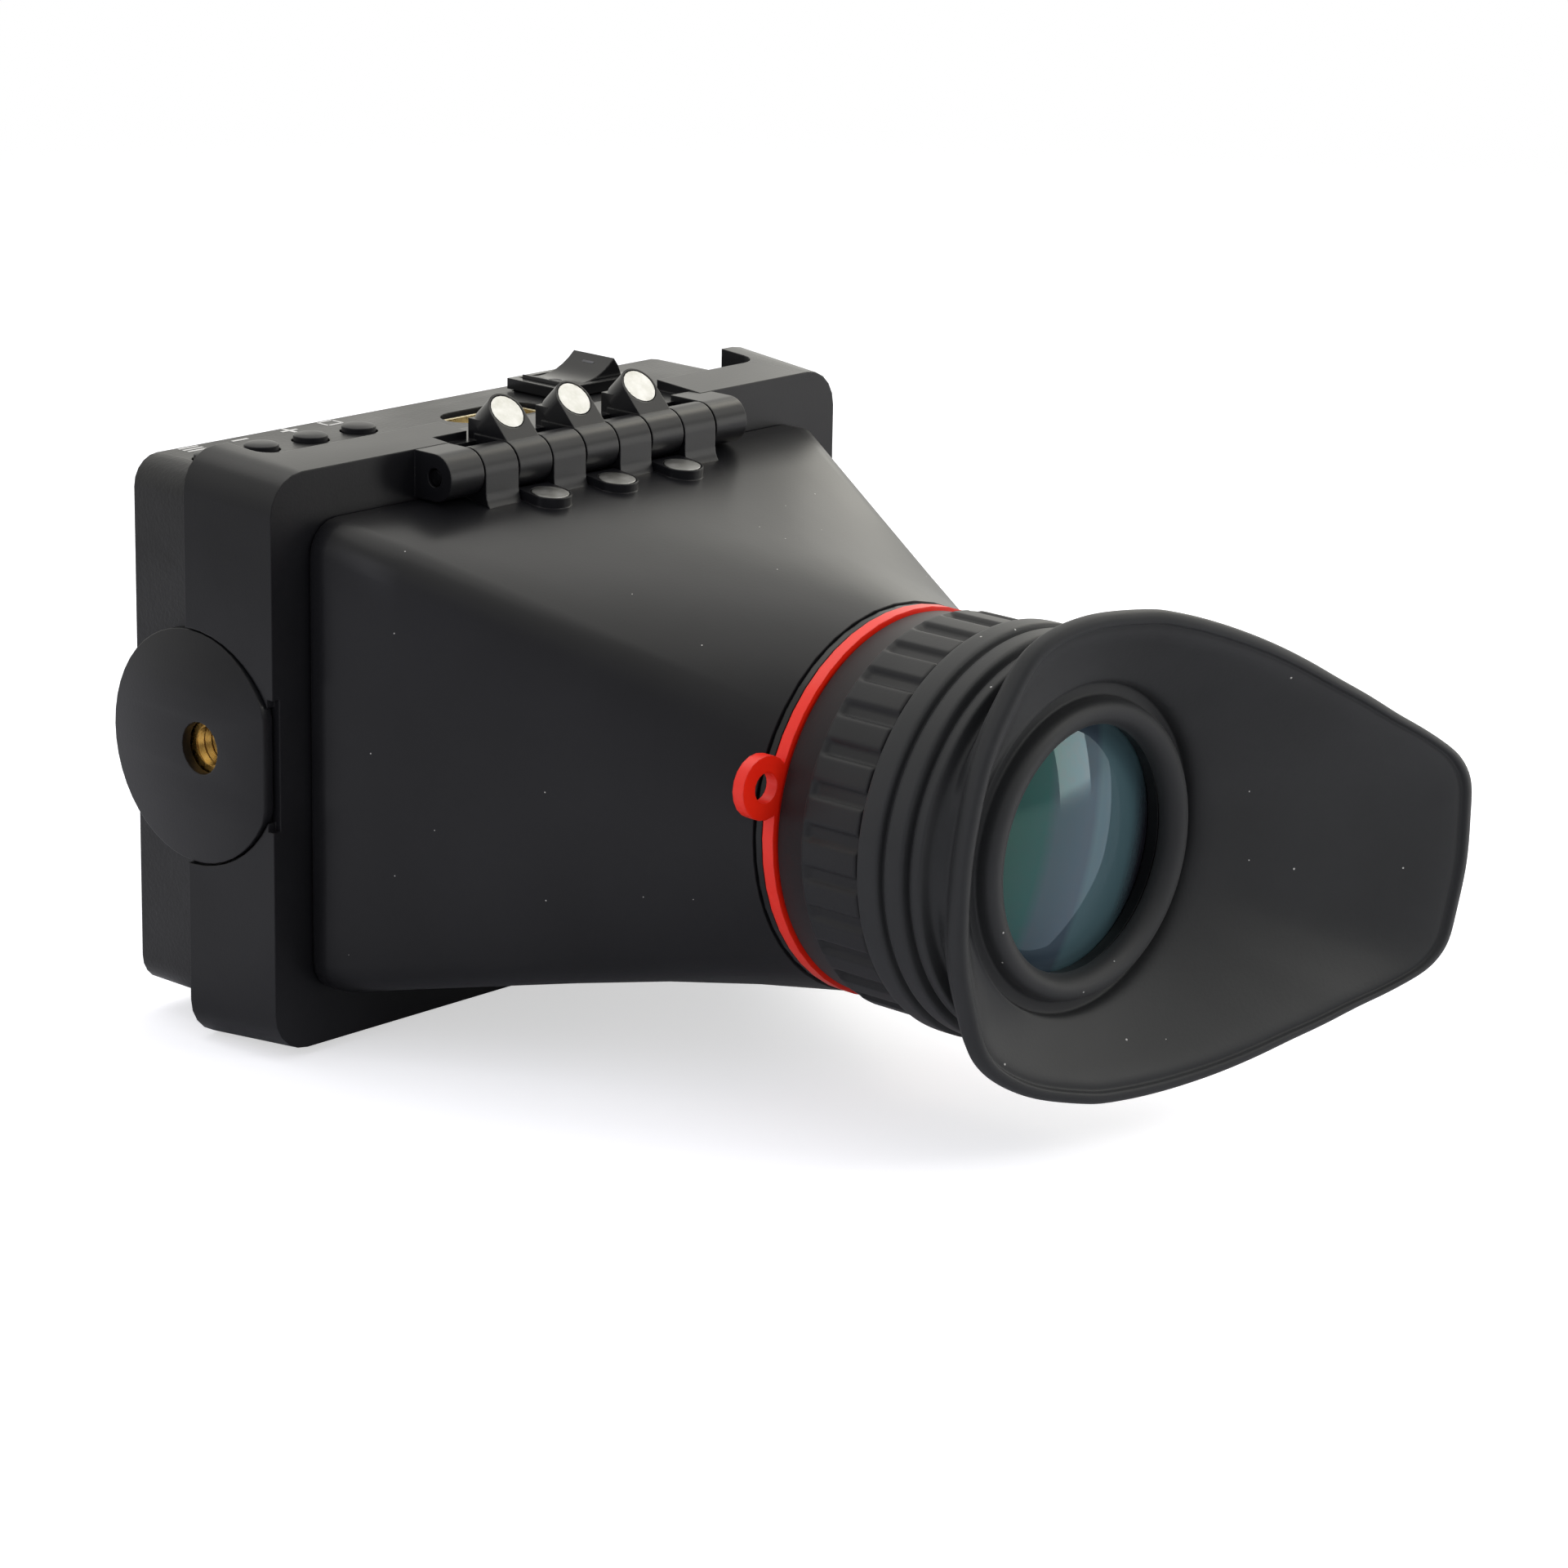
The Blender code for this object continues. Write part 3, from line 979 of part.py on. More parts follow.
def make_optics():
    """The sliding lens carrier with two lenses, their spacer and the retaining ring."""
    eye_axis = (0.0, -1.0, 0.0)
    front = CARRIER_FRONT
    tail = HOOD_LENGTH - CARRIER_TAIL / 2
    bore = CARRIER_RADIUS - CARRIER_WALL
    seat = LENS_SEAT_RADIUS + GAP
    stop_far = FIELD_LENS_Y - FIELD_LENS_EDGE / 2 - GAP
    profile = ((CARRIER_RADIUS, front), (CARRIER_RADIUS, CARRIER_FLANGE_BACK + CARRIER_FLANGE_WIDTH),
               (CARRIER_FLANGE_RADIUS, CARRIER_FLANGE_BACK + CARRIER_FLANGE_WIDTH),
               (CARRIER_FLANGE_RADIUS, CARRIER_FLANGE_BACK), (CARRIER_RADIUS, CARRIER_FLANGE_BACK),
               (CARRIER_RADIUS, tail), (bore, tail), (bore, stop_far - LENS_STOP_WIDTH),
               (LENS_STOP_RADIUS, stop_far - LENS_STOP_WIDTH), (LENS_STOP_RADIUS, stop_far), (seat, stop_far),
               (seat, front))
    turned("lens_carrier", profile, (0.0, 0.0, -EYE_DROP), eye_axis, SATIN_BLACK, ring=True)
    turned("field_lens", lens_profile(FIELD_LENS_EDGE, FIELD_LENS_BULGE),
           (0.0, -FIELD_LENS_Y, -EYE_DROP), eye_axis, GLASS)
    retainer_far = front
    retainer_near = retainer_far - RETAINER_WIDTH
    eye_lens_y = retainer_near - GAP - EYE_LENS_EDGE / 2
    turned("eye_lens", lens_profile(EYE_LENS_EDGE, EYE_LENS_BULGE),
           (0.0, -eye_lens_y, -EYE_DROP), eye_axis, GLASS)
    ring_rod("lens_spacer", LENS_SEAT_RADIUS, LENS_STOP_RADIUS, FIELD_LENS_Y + FIELD_LENS_EDGE / 2 + GAP,
             eye_lens_y - EYE_LENS_EDGE / 2 - GAP, SATIN_BLACK)
    ring_rod("lens_retainer", LENS_SEAT_RADIUS, RETAINER_INNER_RADIUS, retainer_near, retainer_far,
             SATIN_BLACK)


def cup_outline():
    """The flange's outline in its own plane, as evenly spaced points on a smooth closed curve."""
    upper = [(u * (WING_REACH if u > 0.0 else NOSE_REACH), w * CUP_HALF_HEIGHT)
             for u, w in CUP_OUTLINE_SHARES]
    lower = [(u, -w) for u, w in upper[-2:0:-1]]
    knots = upper + lower
    dense = []
    for index in range(len(knots)):
        before, start, end, after = (Vector(knots[(index + shift) % len(knots)]) for shift in (-1, 0, 1, 2))
        for step in range(12):
            share = step / 12
            dense.append(0.5 * ((2 * start) + (end - before) * share
                                + (2 * before - 5 * start + 4 * end - after) * share ** 2
                                + (3 * start - before - 3 * end + after) * share ** 3))
    walk = [0.0]
    for index in range(len(dense)):
        walk.append(walk[-1] + (dense[(index + 1) % len(dense)] - dense[index]).length)
    points = []
    place = 0
    for step in range(CUP_POINTS):
        target = walk[-1] * step / CUP_POINTS
        while walk[place + 1] < target:
            place += 1
        share = (target - walk[place]) / (walk[place + 1] - walk[place])
        points.append(dense[place].lerp(dense[(place + 1) % len(dense)], share))
    return points


def make_eyecup():
    """One soft solid: sleeve, two grooves, dished wing flange, rim bead and the roll round the lens."""
    outline = cup_outline()
    turns = [math.atan2(point.y, point.x) for point in outline]
    cosine, sine = math.cos(CUP_TURN), math.sin(CUP_TURN)

    def place(u, w, distance):
        return (u * cosine - w * sine, -distance, u * sine + w * cosine - EYE_DROP)

    def ring(radius, distance):
        return [place(radius * math.cos(turn), radius * math.sin(turn), distance) for turn in turns]

    def flange(radius, distance, share, lift, spread):
        """A ring part of the way from a circle to the rim, raised by lift and widened by spread."""
        points = []
        for turn, rim in zip(turns, outline):
            outward = rim.normalized() * spread
            u = radius * math.cos(turn) * (1.0 - share) + (rim.x + outward.x) * share
            w = radius * math.sin(turn) * (1.0 - share) + (rim.y + outward.y) * share
            rim_distance = CUP_RIM_FRONT + CUP_LEAN * rim.x + lift
            points.append(place(u, w, distance * (1.0 - share) + rim_distance * share))
        return points

    groove_floor = CUP_SLEEVE_RADIUS - CUP_GROOVE_DEPTH
    bore = CARRIER_FLANGE_RADIUS + GAP
    flange_front = CARRIER_FLANGE_BACK + CARRIER_FLANGE_WIDTH + GAP
    back = CARRIER_FLANGE_BACK + GAP
    throat = CARRIER_RADIUS + GAP
    rings = [ring(bore, back), ring(CUP_SLEEVE_RADIUS - CUP_GROOVE_WIDTH, back),
             ring(CUP_SLEEVE_RADIUS, back + CUP_GROOVE_WIDTH),
             ring(CUP_SLEEVE_RADIUS, CUP_FIRST_GROOVE - CUP_GROOVE_WIDTH),
             ring(groove_floor, CUP_FIRST_GROOVE),
             ring(CUP_STEP_RADIUS, CUP_FIRST_GROOVE + CUP_GROOVE_WIDTH),
             ring(CUP_STEP_RADIUS, CUP_SECOND_GROOVE - CUP_GROOVE_WIDTH),
             ring(CUP_NECK_RADIUS, CUP_SECOND_GROOVE),
             ring(CUP_NECK_RADIUS, CUP_NECK_FRONT)]
    rings += [flange(CUP_NECK_RADIUS, CUP_NECK_FRONT, share, -CUP_WALL, 0.0) for share in (0.35, 0.7)]
    rings += [flange(CUP_NECK_RADIUS, CUP_NECK_FRONT, 1.0, -CUP_BEAD, 0.0),
              flange(CUP_NECK_RADIUS, CUP_NECK_FRONT, 1.0, -CUP_BEAD / 2, CUP_BEAD / 2),
              flange(CUP_NECK_RADIUS, CUP_NECK_FRONT, 1.0, CUP_BEAD / 2, CUP_BEAD / 2),
              flange(CUP_NECK_RADIUS, CUP_NECK_FRONT, 1.0, CUP_BEAD, 0.0),
              flange(CUP_DISH_RADIUS, CUP_DISH_FRONT, 1.0, CUP_BEAD / 2, -CUP_BEAD)]
    rings += [flange(CUP_DISH_RADIUS, CUP_DISH_FRONT, share, 0.0, -CUP_BEAD) for share in (0.7, 0.35, 0.0)]
    half_roll = (CUP_ROLL_OUTER - CUP_ROLL_INNER) / 2
    roll_middle = CUP_ROLL_FRONT - half_roll
    for angle in (0, 30, 60, 90, 120, 150, 180):
        across = half_roll * math.cos(math.radians(angle))
        ahead = half_roll * math.sin(math.radians(angle))
        rings.append(ring(CUP_ROLL_INNER + half_roll + across, roll_middle + ahead))
    rings += [ring(CUP_ROLL_INNER, CARRIER_FRONT + GAP), ring(throat, CARRIER_FRONT + GAP),
              ring(throat, flange_front), ring(bore, flange_front)]
    return loft("eyecup", rings, RUBBER, around=True)


def stand_on_origin():
    """Move the design so that the origin lies under the middle of its box, at its lowest point."""
    graph = bpy.context.evaluated_depsgraph_get()
    corners = []
    for part in PARTS.objects:
        seen = part.evaluated_get(graph)
        mesh = seen.to_mesh()
        corners += [seen.matrix_world @ vertex.co for vertex in mesh.vertices]
        seen.to_mesh_clear()
    low = Vector(tuple(min(corner[axis] for corner in corners) for axis in range(3)))
    high = Vector(tuple(max(corner[axis] for corner in corners) for axis in range(3)))
    DATUM.location = (-(low.x + high.x) / 2, -(low.y + high.y) / 2, -low.z)
    bpy.context.view_layer.update()
    print("box in mm", [round(1000 * side, 2) for side in high - low])
    print("design origin in mm", [round(1000 * value, 4) for value in DATUM.location])


for leftover in list(bpy.data.objects):
    bpy.data.objects.remove(leftover)

PARTS = new_collection("electronic_viewfinder")
TOOLS = new_collection("cutters")
DATUM = bpy.data.objects.new("design_origin", None)
bpy.context.scene.collection.objects.link(DATUM)

SATIN_BLACK = paint("satin_black_plastic", (0.018, 0.018, 0.020), 0.42)
GLOSS_BLACK = paint("gloss_black_plastic", (0.012, 0.012, 0.013), 0.25)
KEY_BLACK = paint("key_black_plastic", (0.030, 0.030, 0.033), 0.40)
SOCKET_BLACK = paint("socket_black_plastic", (0.015, 0.015, 0.016), 0.45)
RUBBER = paint("black_rubber", (0.022, 0.022, 0.023), 0.62)
RED = paint("red_plastic", (0.72, 0.050, 0.022), 0.40)
STEEL = paint("blackened_steel", (0.10, 0.10, 0.11), 0.35, 1.0)
NICKEL = paint("nickel_plate", (0.72, 0.72, 0.70), 0.28, 1.0)
BRASS = paint("brass", (0.80, 0.56, 0.22), 0.30, 1.0)
GOLD = paint("gold_plate", (0.83, 0.62, 0.28), 0.30, 1.0)
GLASS = paint("coated_glass", (0.06, 0.20, 0.20), 0.05)
CLEAR = paint("clear_acrylic", (0.70, 0.72, 0.74), 0.08)
PANEL_BLACK = paint("panel_glass", (0.015, 0.017, 0.022), 0.12)
WHITE_PLASTIC = paint("white_plastic", (0.75, 0.75, 0.73), 0.50)
BOARD_GREEN = paint("circuit_board", (0.02, 0.14, 0.06), 0.45)
SWITCH_GREY = paint("switch_grey", (0.20, 0.20, 0.21), 0.50)

make_frame()
make_hood()
make_hinge()
make_housing()
make_cover()
make_display()
make_keys()
make_socket()
make_rocker()
make_side_mounts()
make_rings()
make_focus_ring()
make_optics()
make_eyecup()
bpy.context.view_layer.update()
stand_on_origin()
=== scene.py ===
# %% [markdown]
# # A flip-up camera viewfinder, dressed for the studio
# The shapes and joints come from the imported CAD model, which is loaded as a fixed frame.
# This lesson adds what CAD leaves out: the finish of every surface, the soft rubber, the fluted
# grip, the coated lens and the printed marks. It goes from the camera to the light and then
# piece by piece. All lengths are in metres, and MM turns millimetres into them.

# %% Load the fixed frame and keep its box
import math

import bmesh
import bpy
from mathutils import Matrix, Vector
from mathutils.bvhtree import BVHTree


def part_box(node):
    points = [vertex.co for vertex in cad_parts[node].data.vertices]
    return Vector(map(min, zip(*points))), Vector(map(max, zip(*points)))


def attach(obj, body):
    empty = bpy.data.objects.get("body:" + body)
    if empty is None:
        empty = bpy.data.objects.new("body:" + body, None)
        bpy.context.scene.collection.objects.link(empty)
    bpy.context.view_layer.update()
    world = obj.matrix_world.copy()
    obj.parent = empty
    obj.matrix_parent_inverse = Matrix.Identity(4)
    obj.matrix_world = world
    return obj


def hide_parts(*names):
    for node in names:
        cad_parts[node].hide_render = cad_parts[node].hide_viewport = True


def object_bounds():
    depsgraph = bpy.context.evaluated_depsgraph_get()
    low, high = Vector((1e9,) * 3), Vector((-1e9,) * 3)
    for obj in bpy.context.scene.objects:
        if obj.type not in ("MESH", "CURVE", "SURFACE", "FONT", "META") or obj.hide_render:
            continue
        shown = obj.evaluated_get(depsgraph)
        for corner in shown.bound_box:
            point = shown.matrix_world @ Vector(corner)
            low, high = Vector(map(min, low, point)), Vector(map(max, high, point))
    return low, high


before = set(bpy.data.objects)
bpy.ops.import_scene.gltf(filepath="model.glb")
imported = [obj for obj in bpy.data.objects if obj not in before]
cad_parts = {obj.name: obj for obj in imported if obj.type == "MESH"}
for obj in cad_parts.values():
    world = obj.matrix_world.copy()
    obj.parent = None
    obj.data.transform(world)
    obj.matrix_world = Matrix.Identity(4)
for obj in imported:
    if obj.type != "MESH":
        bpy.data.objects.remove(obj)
cad_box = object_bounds()
MM = 0.001

# %% [markdown]
# ## One point that everything is measured from
# Everything round the eyepiece is turned about one axis. The lens carrier is a turned part on
# that axis, so its box gives the axis without typing any place by hand. CARRIER_REACH is how far
# the carrier's front stands before the face of the display frame.

# %% The eyepiece axis, where it meets the display frame's face
CARRIER_REACH = 91.2 * MM
low, high = (Vector(corner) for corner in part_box("lens_carrier"))
AXIS = Vector(((low.x + high.x) / 2, low.y + CARRIER_REACH, (low.z + high.z) / 2))


def ahead(x, z, distance):
    """A point beside the eyepiece axis, a distance in front of the frame's face."""
    return AXIS + Vector((x, -distance, z))


print("axis point in mm:", [round(value / MM, 2) for value in AXIS])

# %% [markdown]
# ## The camera
# A product photographer steps back and uses a long lens, which keeps the box shape of the
# viewfinder from spreading. The camera here stands nearly 0.7 m away with a 120 mm lens, an
# eighth of a turn to the left of the eyepiece and a little above it.

# %% The camera
SENSOR_MM = 36.0
FOCAL_MM = 120.375
CAMERA_TURN = math.radians(-46.95)
CAMERA_RISE = math.radians(15.98)
CAMERA_ROLL = math.radians(0.97)
CAMERA_DISTANCE = 692.95 * MM
NEAREST_SEEN = 10.0 * MM
camera_data = bpy.data.cameras.new("studio_camera")
camera_data.sensor_width = SENSOR_MM
camera_data.sensor_fit = "HORIZONTAL"
camera_data.lens = FOCAL_MM
camera_data.clip_start = NEAREST_SEEN
camera = bpy.data.objects.new("studio_camera", camera_data)
bpy.context.scene.collection.objects.link(camera)
bpy.context.scene.camera = camera
backwards = Vector((math.sin(CAMERA_TURN) * math.cos(CAMERA_RISE),
                    -math.cos(CAMERA_TURN) * math.cos(CAMERA_RISE), math.sin(CAMERA_RISE)))
rightwards = Vector((math.cos(CAMERA_TURN), math.sin(CAMERA_TURN), 0.0))
upwards = backwards.cross(rightwards)
rolled_right = rightwards * math.cos(CAMERA_ROLL) + upwards * math.sin(CAMERA_ROLL)
rolled_up = upwards * math.cos(CAMERA_ROLL) - rightwards * math.sin(CAMERA_ROLL)
looked_at = ahead(1.27 * MM, -2.66 * MM, 40.0 * MM)
turned = Matrix((rolled_right, rolled_up, backwards)).transposed().to_4x4()
camera.matrix_world = Matrix.Translation(looked_at + backwards * CAMERA_DISTANCE) @ turned
print("camera at", [round(value, 3) for value in camera.matrix_world.translation])

# %% [markdown]
# ## Colours and nodes
# Colours are written as sRGB hex values, the way a picture editor shows them. Blender's shaders
# want linear light, so one function turns them. A second function adds a shader node, sets its
# values and links its inputs, and every material below is built with it.

# %% Two small helpers for materials


def linear(code):
    """An sRGB hex colour as linear red, green, blue and a full alpha."""
    values = [int(code[place:place + 2], 16) / 255 for place in (1, 3, 5)]
    return (*[value / 12.92 if value <= 0.04045 else ((value + 0.055) / 1.055) ** 2.4
              for value in values], 1.0)


def add(tree, kind, settings=None, links=None):
    """One node with its settings and its incoming links. Settings name a property or a socket."""
    node = tree.nodes.new(kind)
    for name, value in (settings or {}).items():
        if isinstance(name, str) and hasattr(node, name):
            setattr(node, name, value)
        else:
            node.inputs[name].default_value = value
    for name, source in (links or {}).items():
        tree.links.new(source, node.inputs[name])
    return node


def start(name, settings):
    """A new material with its Principled shader's own sockets set."""
    material = bpy.data.materials.new(name)
    material.use_nodes = True
    tree = material.node_tree
    shader = tree.nodes["Principled BSDF"]
    for socket, value in settings.items():
        shader.inputs[socket].default_value = value
    return material, tree, shader


print("black plastic as linear light:", [round(value, 4) for value in linear("#1b1b1d")[:3]])

# %% [markdown]
# ## The studio
# The photograph was taken on a white table that runs out into a white wall, with a large soft
# light overhead and behind. The table here is a disc whose edge fades away, so that no horizon
# shows. A photographer exposes such a table until it is nearly white, so the camera sees most of
# it as plain white and only a pale shadow stays. The world is white to the camera. For
# reflections it is white behind, above and to the right, and dim on the camera's side, because
# that keeps black plastic black in front and pale where it is seen at a low angle.

# %% The table
TABLE_RADIUS = 0.80
TABLE_SOLID_TO = 0.30
TABLE_CLEAR_FROM = 0.78
TABLE_GAP = 0.05 * MM
FIBRE_MM = 2.5
table_mesh = bpy.data.meshes.new("table")
work = bmesh.new()
bmesh.ops.create_circle(work, cap_ends=True, segments=96, radius=TABLE_RADIUS)
work.to_mesh(table_mesh)
work.free()
table = bpy.data.objects.new("table", table_mesh)
table.location = (0.0, 0.0, cad_box[0][2] - TABLE_GAP)
bpy.context.scene.collection.objects.link(table)
paper, tree, shader = start("matt_white_paper", {"Roughness": 0.9, "Specular IOR Level": 0.1})
place = add(tree, "ShaderNodeTexCoord")
reach = add(tree, "ShaderNodeVectorMath", {"operation": "LENGTH"}, {0: place.outputs["Object"]})
fade = add(tree, "ShaderNodeMapRange", {"interpolation_type": "SMOOTHSTEP", "From Min": TABLE_SOLID_TO,
                                        "From Max": TABLE_CLEAR_FROM, "To Min": 1.0, "To Max": 0.0},
           {"Value": reach.outputs["Value"]})
fibre = add(tree, "ShaderNodeTexNoise", {"Scale": 1000 / FIBRE_MM, "Detail": 2.0},
            {"Vector": place.outputs["Object"]})
sheet = add(tree, "ShaderNodeMix", {"data_type": "RGBA", 6: linear("#e2e2e4"), 7: linear("#e8e8ea")},
            {0: fibre.outputs["Fac"]})
tree.links.new(sheet.outputs[2], shader.inputs["Base Color"])
tree.links.new(fade.outputs["Result"], shader.inputs["Alpha"])
EXPOSED_WHITE = 0.57
rays = add(tree, "ShaderNodeLightPath")
share = add(tree, "ShaderNodeMath", {"operation": "MULTIPLY", 1: EXPOSED_WHITE},
            {0: rays.outputs["Is Camera Ray"]})
lift = add(tree, "ShaderNodeMath", {"operation": "MULTIPLY"},
           {0: share.outputs["Value"], 1: fade.outputs["Result"]})
overexposed = add(tree, "ShaderNodeEmission", {"Color": (1.0, 1.0, 1.0, 1.0)},
                  {"Strength": lift.outputs["Value"]})
seen = add(tree, "ShaderNodeAddShader", links={0: shader.outputs[0], 1: overexposed.outputs[0]})
tree.links.new(seen.outputs[0], tree.nodes["Material Output"].inputs["Surface"])
table_mesh.materials.append(paper)
print("table radius", TABLE_RADIUS, "white added for the camera", EXPOSED_WHITE)

# %% The world, white behind and above, dim in front
world = bpy.data.worlds.new("studio_room")
bpy.context.scene.world = world
world.use_nodes = True
tree = world.node_tree
tree.nodes.clear()
place = add(tree, "ShaderNodeTexCoord")
BRIGHT_SIDE = (0.50, 0.45, 0.74)
DIM_UP_TO = -0.78
BRIGHT_FROM = 0.55
FILL_STRENGTH = 0.68
along = add(tree, "ShaderNodeVectorMath", {"operation": "DOT_PRODUCT", 1: BRIGHT_SIDE},
            {0: place.outputs["Generated"]})
behind = add(tree, "ShaderNodeMapRange", {"interpolation_type": "SMOOTHSTEP", "From Min": DIM_UP_TO,
                                          "From Max": BRIGHT_FROM}, {"Value": along.outputs["Value"]})
room = add(tree, "ShaderNodeMix", {"data_type": "RGBA", 6: linear("#7c7c84"), 7: linear("#fffef8")},
           {0: behind.outputs["Result"]})
rays = add(tree, "ShaderNodeLightPath")
mirrored = add(tree, "ShaderNodeMath", {"operation": "MAXIMUM"},
               {0: rays.outputs["Is Glossy Ray"], 1: rays.outputs["Is Transmission Ray"]})
fill = add(tree, "ShaderNodeBackground", {"Color": linear("#f4f5ff"), "Strength": FILL_STRENGTH})
reflected = add(tree, "ShaderNodeBackground", {"Strength": 1.0}, {"Color": room.outputs[2]})
backdrop = add(tree, "ShaderNodeBackground", {"Color": (1.0, 1.0, 1.0, 1.0), "Strength": 1.0})
unseen = add(tree, "ShaderNodeMixShader", links={0: mirrored.outputs["Value"], 1: fill.outputs[0],
                                                 2: reflected.outputs[0]})
seen = add(tree, "ShaderNodeMixShader", links={0: rays.outputs["Is Camera Ray"], 1: unseen.outputs[0],
                                               2: backdrop.outputs[0]})
add(tree, "ShaderNodeOutputWorld", links={"Surface": seen.outputs[0]})
print("world nodes", len(tree.nodes))

# %% The lamps: one overhead, seven at the right and a weak one at the left


def soft_box(name, place, width, height, energy, colour):
    """A rectangular area lamp at a place, aimed at the middle of the viewfinder."""
    lamp = bpy.data.lights.new(name, "AREA")
    lamp.shape = "RECTANGLE"
    lamp.size = width
    lamp.size_y = height
    lamp.energy = energy
    lamp.color = linear(colour)[:3]
    made = bpy.data.objects.new(name, lamp)
    made.location = place
    made.rotation_mode = "QUATERNION"
    made.rotation_quaternion = (Vector(place) - looked_at).to_track_quat("Z", "Y")
    bpy.context.scene.collection.objects.link(made)


# Each row is a name, a place in metres, a width, a height, a power in watts and a colour.
lamps = [
    ("overhead_box", (0.10, 0.22, 0.72), 0.80, 0.70, 1.5, "#fffdf8"),
    ("left_strip", (-0.75, 0.10, 0.30), 0.15, 0.60, 0.5, "#f6f6ff"),
    ("window", (0.62, -0.62, 0.06), 0.20, 0.55, 1.10, "#fbfaf6"),
    ("low_box", (0.75, -0.25, 0.10), 0.25, 0.35, 1.0, "#fffdf6"),
    ("right_box", (0.42, -0.36, 0.60), 0.50, 0.45, 0.9, "#fffdf6"),
    ("knuckle_box", (0.56, 0.08, 0.57), 0.22, 0.16, 0.5, "#fffaea"),
    ("front_card", (0.26, -0.60, 0.50), 0.28, 0.24, 0.9, "#fffdf6"),
    ("back_panel", (0.56, 0.52, 0.30), 0.60, 0.35, 0.22, "#fffcf0"),
    ("side_box", (0.40, 0.12, 0.27), 0.25, 0.25, 0.32, "#fffcf0"),
]
for row in lamps:
    soft_box(*row)
bpy.context.scene.view_settings.view_transform = "Standard"
print("lamps", len(lamps))

# %% [markdown]
# ## Moulded plastic and rubber
# Nearly all of the viewfinder is black acrylonitrile butadiene styrene, or ABS, moulded in a
# steel tool. The tool's surface was eroded by sparks, which leaves a fine even grain: the plastic
# looks satin, with soft wide highlights instead of sharp ones. The eyecup is moulded in rubber,
# softer and duller. Both are made by one function, which takes real sizes in millimetres.
# The grain of such a tool is about 0.05 mm, too fine to show here, so it is drawn coarser.
# Corners of moulded parts are never knife sharp. A Bevel node rounds the shading there, which
# puts the thin light lines along the edges without changing the CAD meshes.

# %% A function for moulded finishes
HANDLED_PATCHES = 2.5
NOISE_SPAN = {"From Min": 0.3, "From Max": 0.7}
DUST_SPACING_MM = 4.5
DUST_COLOUR = "#b5b3ae"


def moulded(name, dark, light, patch_mm, grain_mm, relief_mm, sheen, settings, edge_mm=0.25, dust=0.0):
    """A moulded finish: slow changes of tone, grain, rounded edges and a little dust.

    The sheen is the lowest and highest roughness. The settings go on the shader's own sockets. The
    dust is the radius of a speck, as a share of the distance between specks.
    """
    material, tree, shader = start(name, settings)
    place = add(tree, "ShaderNodeTexCoord")
    where = {"Vector": place.outputs["Object"]}
    patches = add(tree, "ShaderNodeTexNoise", {"Scale": 1000 / patch_mm, "Detail": 4.0}, where)
    tone = add(tree, "ShaderNodeMapRange", {"From Min": 0.35, "From Max": 0.65},
               {"Value": patches.outputs["Fac"]})
    colour = add(tree, "ShaderNodeMix", {"data_type": "RGBA", 6: linear(dark), 7: linear(light)},
                 {0: tone.outputs["Result"]})
    handled = add(tree, "ShaderNodeTexNoise", {"Scale": 1000 / (patch_mm * HANDLED_PATCHES), "Detail": 2.0},
                  where)
    gloss = add(tree, "ShaderNodeMapRange", {**NOISE_SPAN, "To Min": sheen[0], "To Max": sheen[1]},
                {"Value": handled.outputs["Fac"]})
    grain = add(tree, "ShaderNodeTexNoise", {"Scale": 1000 / grain_mm, "Detail": 2.0}, where)
    rounded = add(tree, "ShaderNodeBevel", {"samples": 4, "Radius": edge_mm * MM})
    bump = add(tree, "ShaderNodeBump", {"Strength": 1.0, "Distance": relief_mm * MM},
               {"Height": grain.outputs["Fac"], "Normal": rounded.outputs["Normal"]})
    tree.links.new(bump.outputs["Normal"], shader.inputs["Normal"])
    tree.links.new(gloss.outputs["Result"], shader.inputs["Roughness"])
    last = colour.outputs[2]
    if dust:
        cells = add(tree, "ShaderNodeTexVoronoi", {"Scale": 1000 / DUST_SPACING_MM}, where)
        speck = add(tree, "ShaderNodeMath", {"operation": "LESS_THAN", 1: dust},
                    {0: cells.outputs["Distance"]})
        dusty = add(tree, "ShaderNodeMix", {"data_type": "RGBA", 7: linear(DUST_COLOUR)},
                    {0: speck.outputs["Value"], 6: last})
        last = dusty.outputs[2]
    tree.links.new(last, shader.inputs["Base Color"])
    return material


# %% The plastics
PLASTIC = {"IOR": 1.46, "Specular IOR Level": 0.32}
# Satin frame: an even, fine spark grain that gives soft, wide highlights.
satin_abs = moulded("moulded_abs_satin", "#121214", "#171719", 14.0, 0.35, 0.008, (0.27, 0.34), PLASTIC)
# The hood's grain is a touch duller, and its wide faces show a few specks of dust.
hood_abs = moulded("moulded_abs_hood", "#131315", "#18181a", 22.0, 0.35, 0.007, (0.30, 0.38), PLASTIC,
                   dust=0.022)
# The module's shell has a coarse leathery grain that breaks the light up into little points.
grained_abs = moulded("moulded_abs_coarse_grain", "#131314", "#1c1c1d", 6.0, 0.50, 0.040, (0.34, 0.42),
                      {"IOR": 1.46, "Specular IOR Level": 0.38})
# Keys are a little greyer than the shell, so that they stand out from it.
key_abs = moulded("moulded_abs_keys", "#1a1a1c", "#202022", 3.0, 0.30, 0.006, (0.34, 0.42), PLASTIC)
# The switch and the neck ring come from a polished tool, which leaves sharper reflections.
gloss_abs = moulded("moulded_abs_gloss", "#0f0f10", "#141415", 8.0, 0.60, 0.002, (0.18, 0.26), PLASTIC)
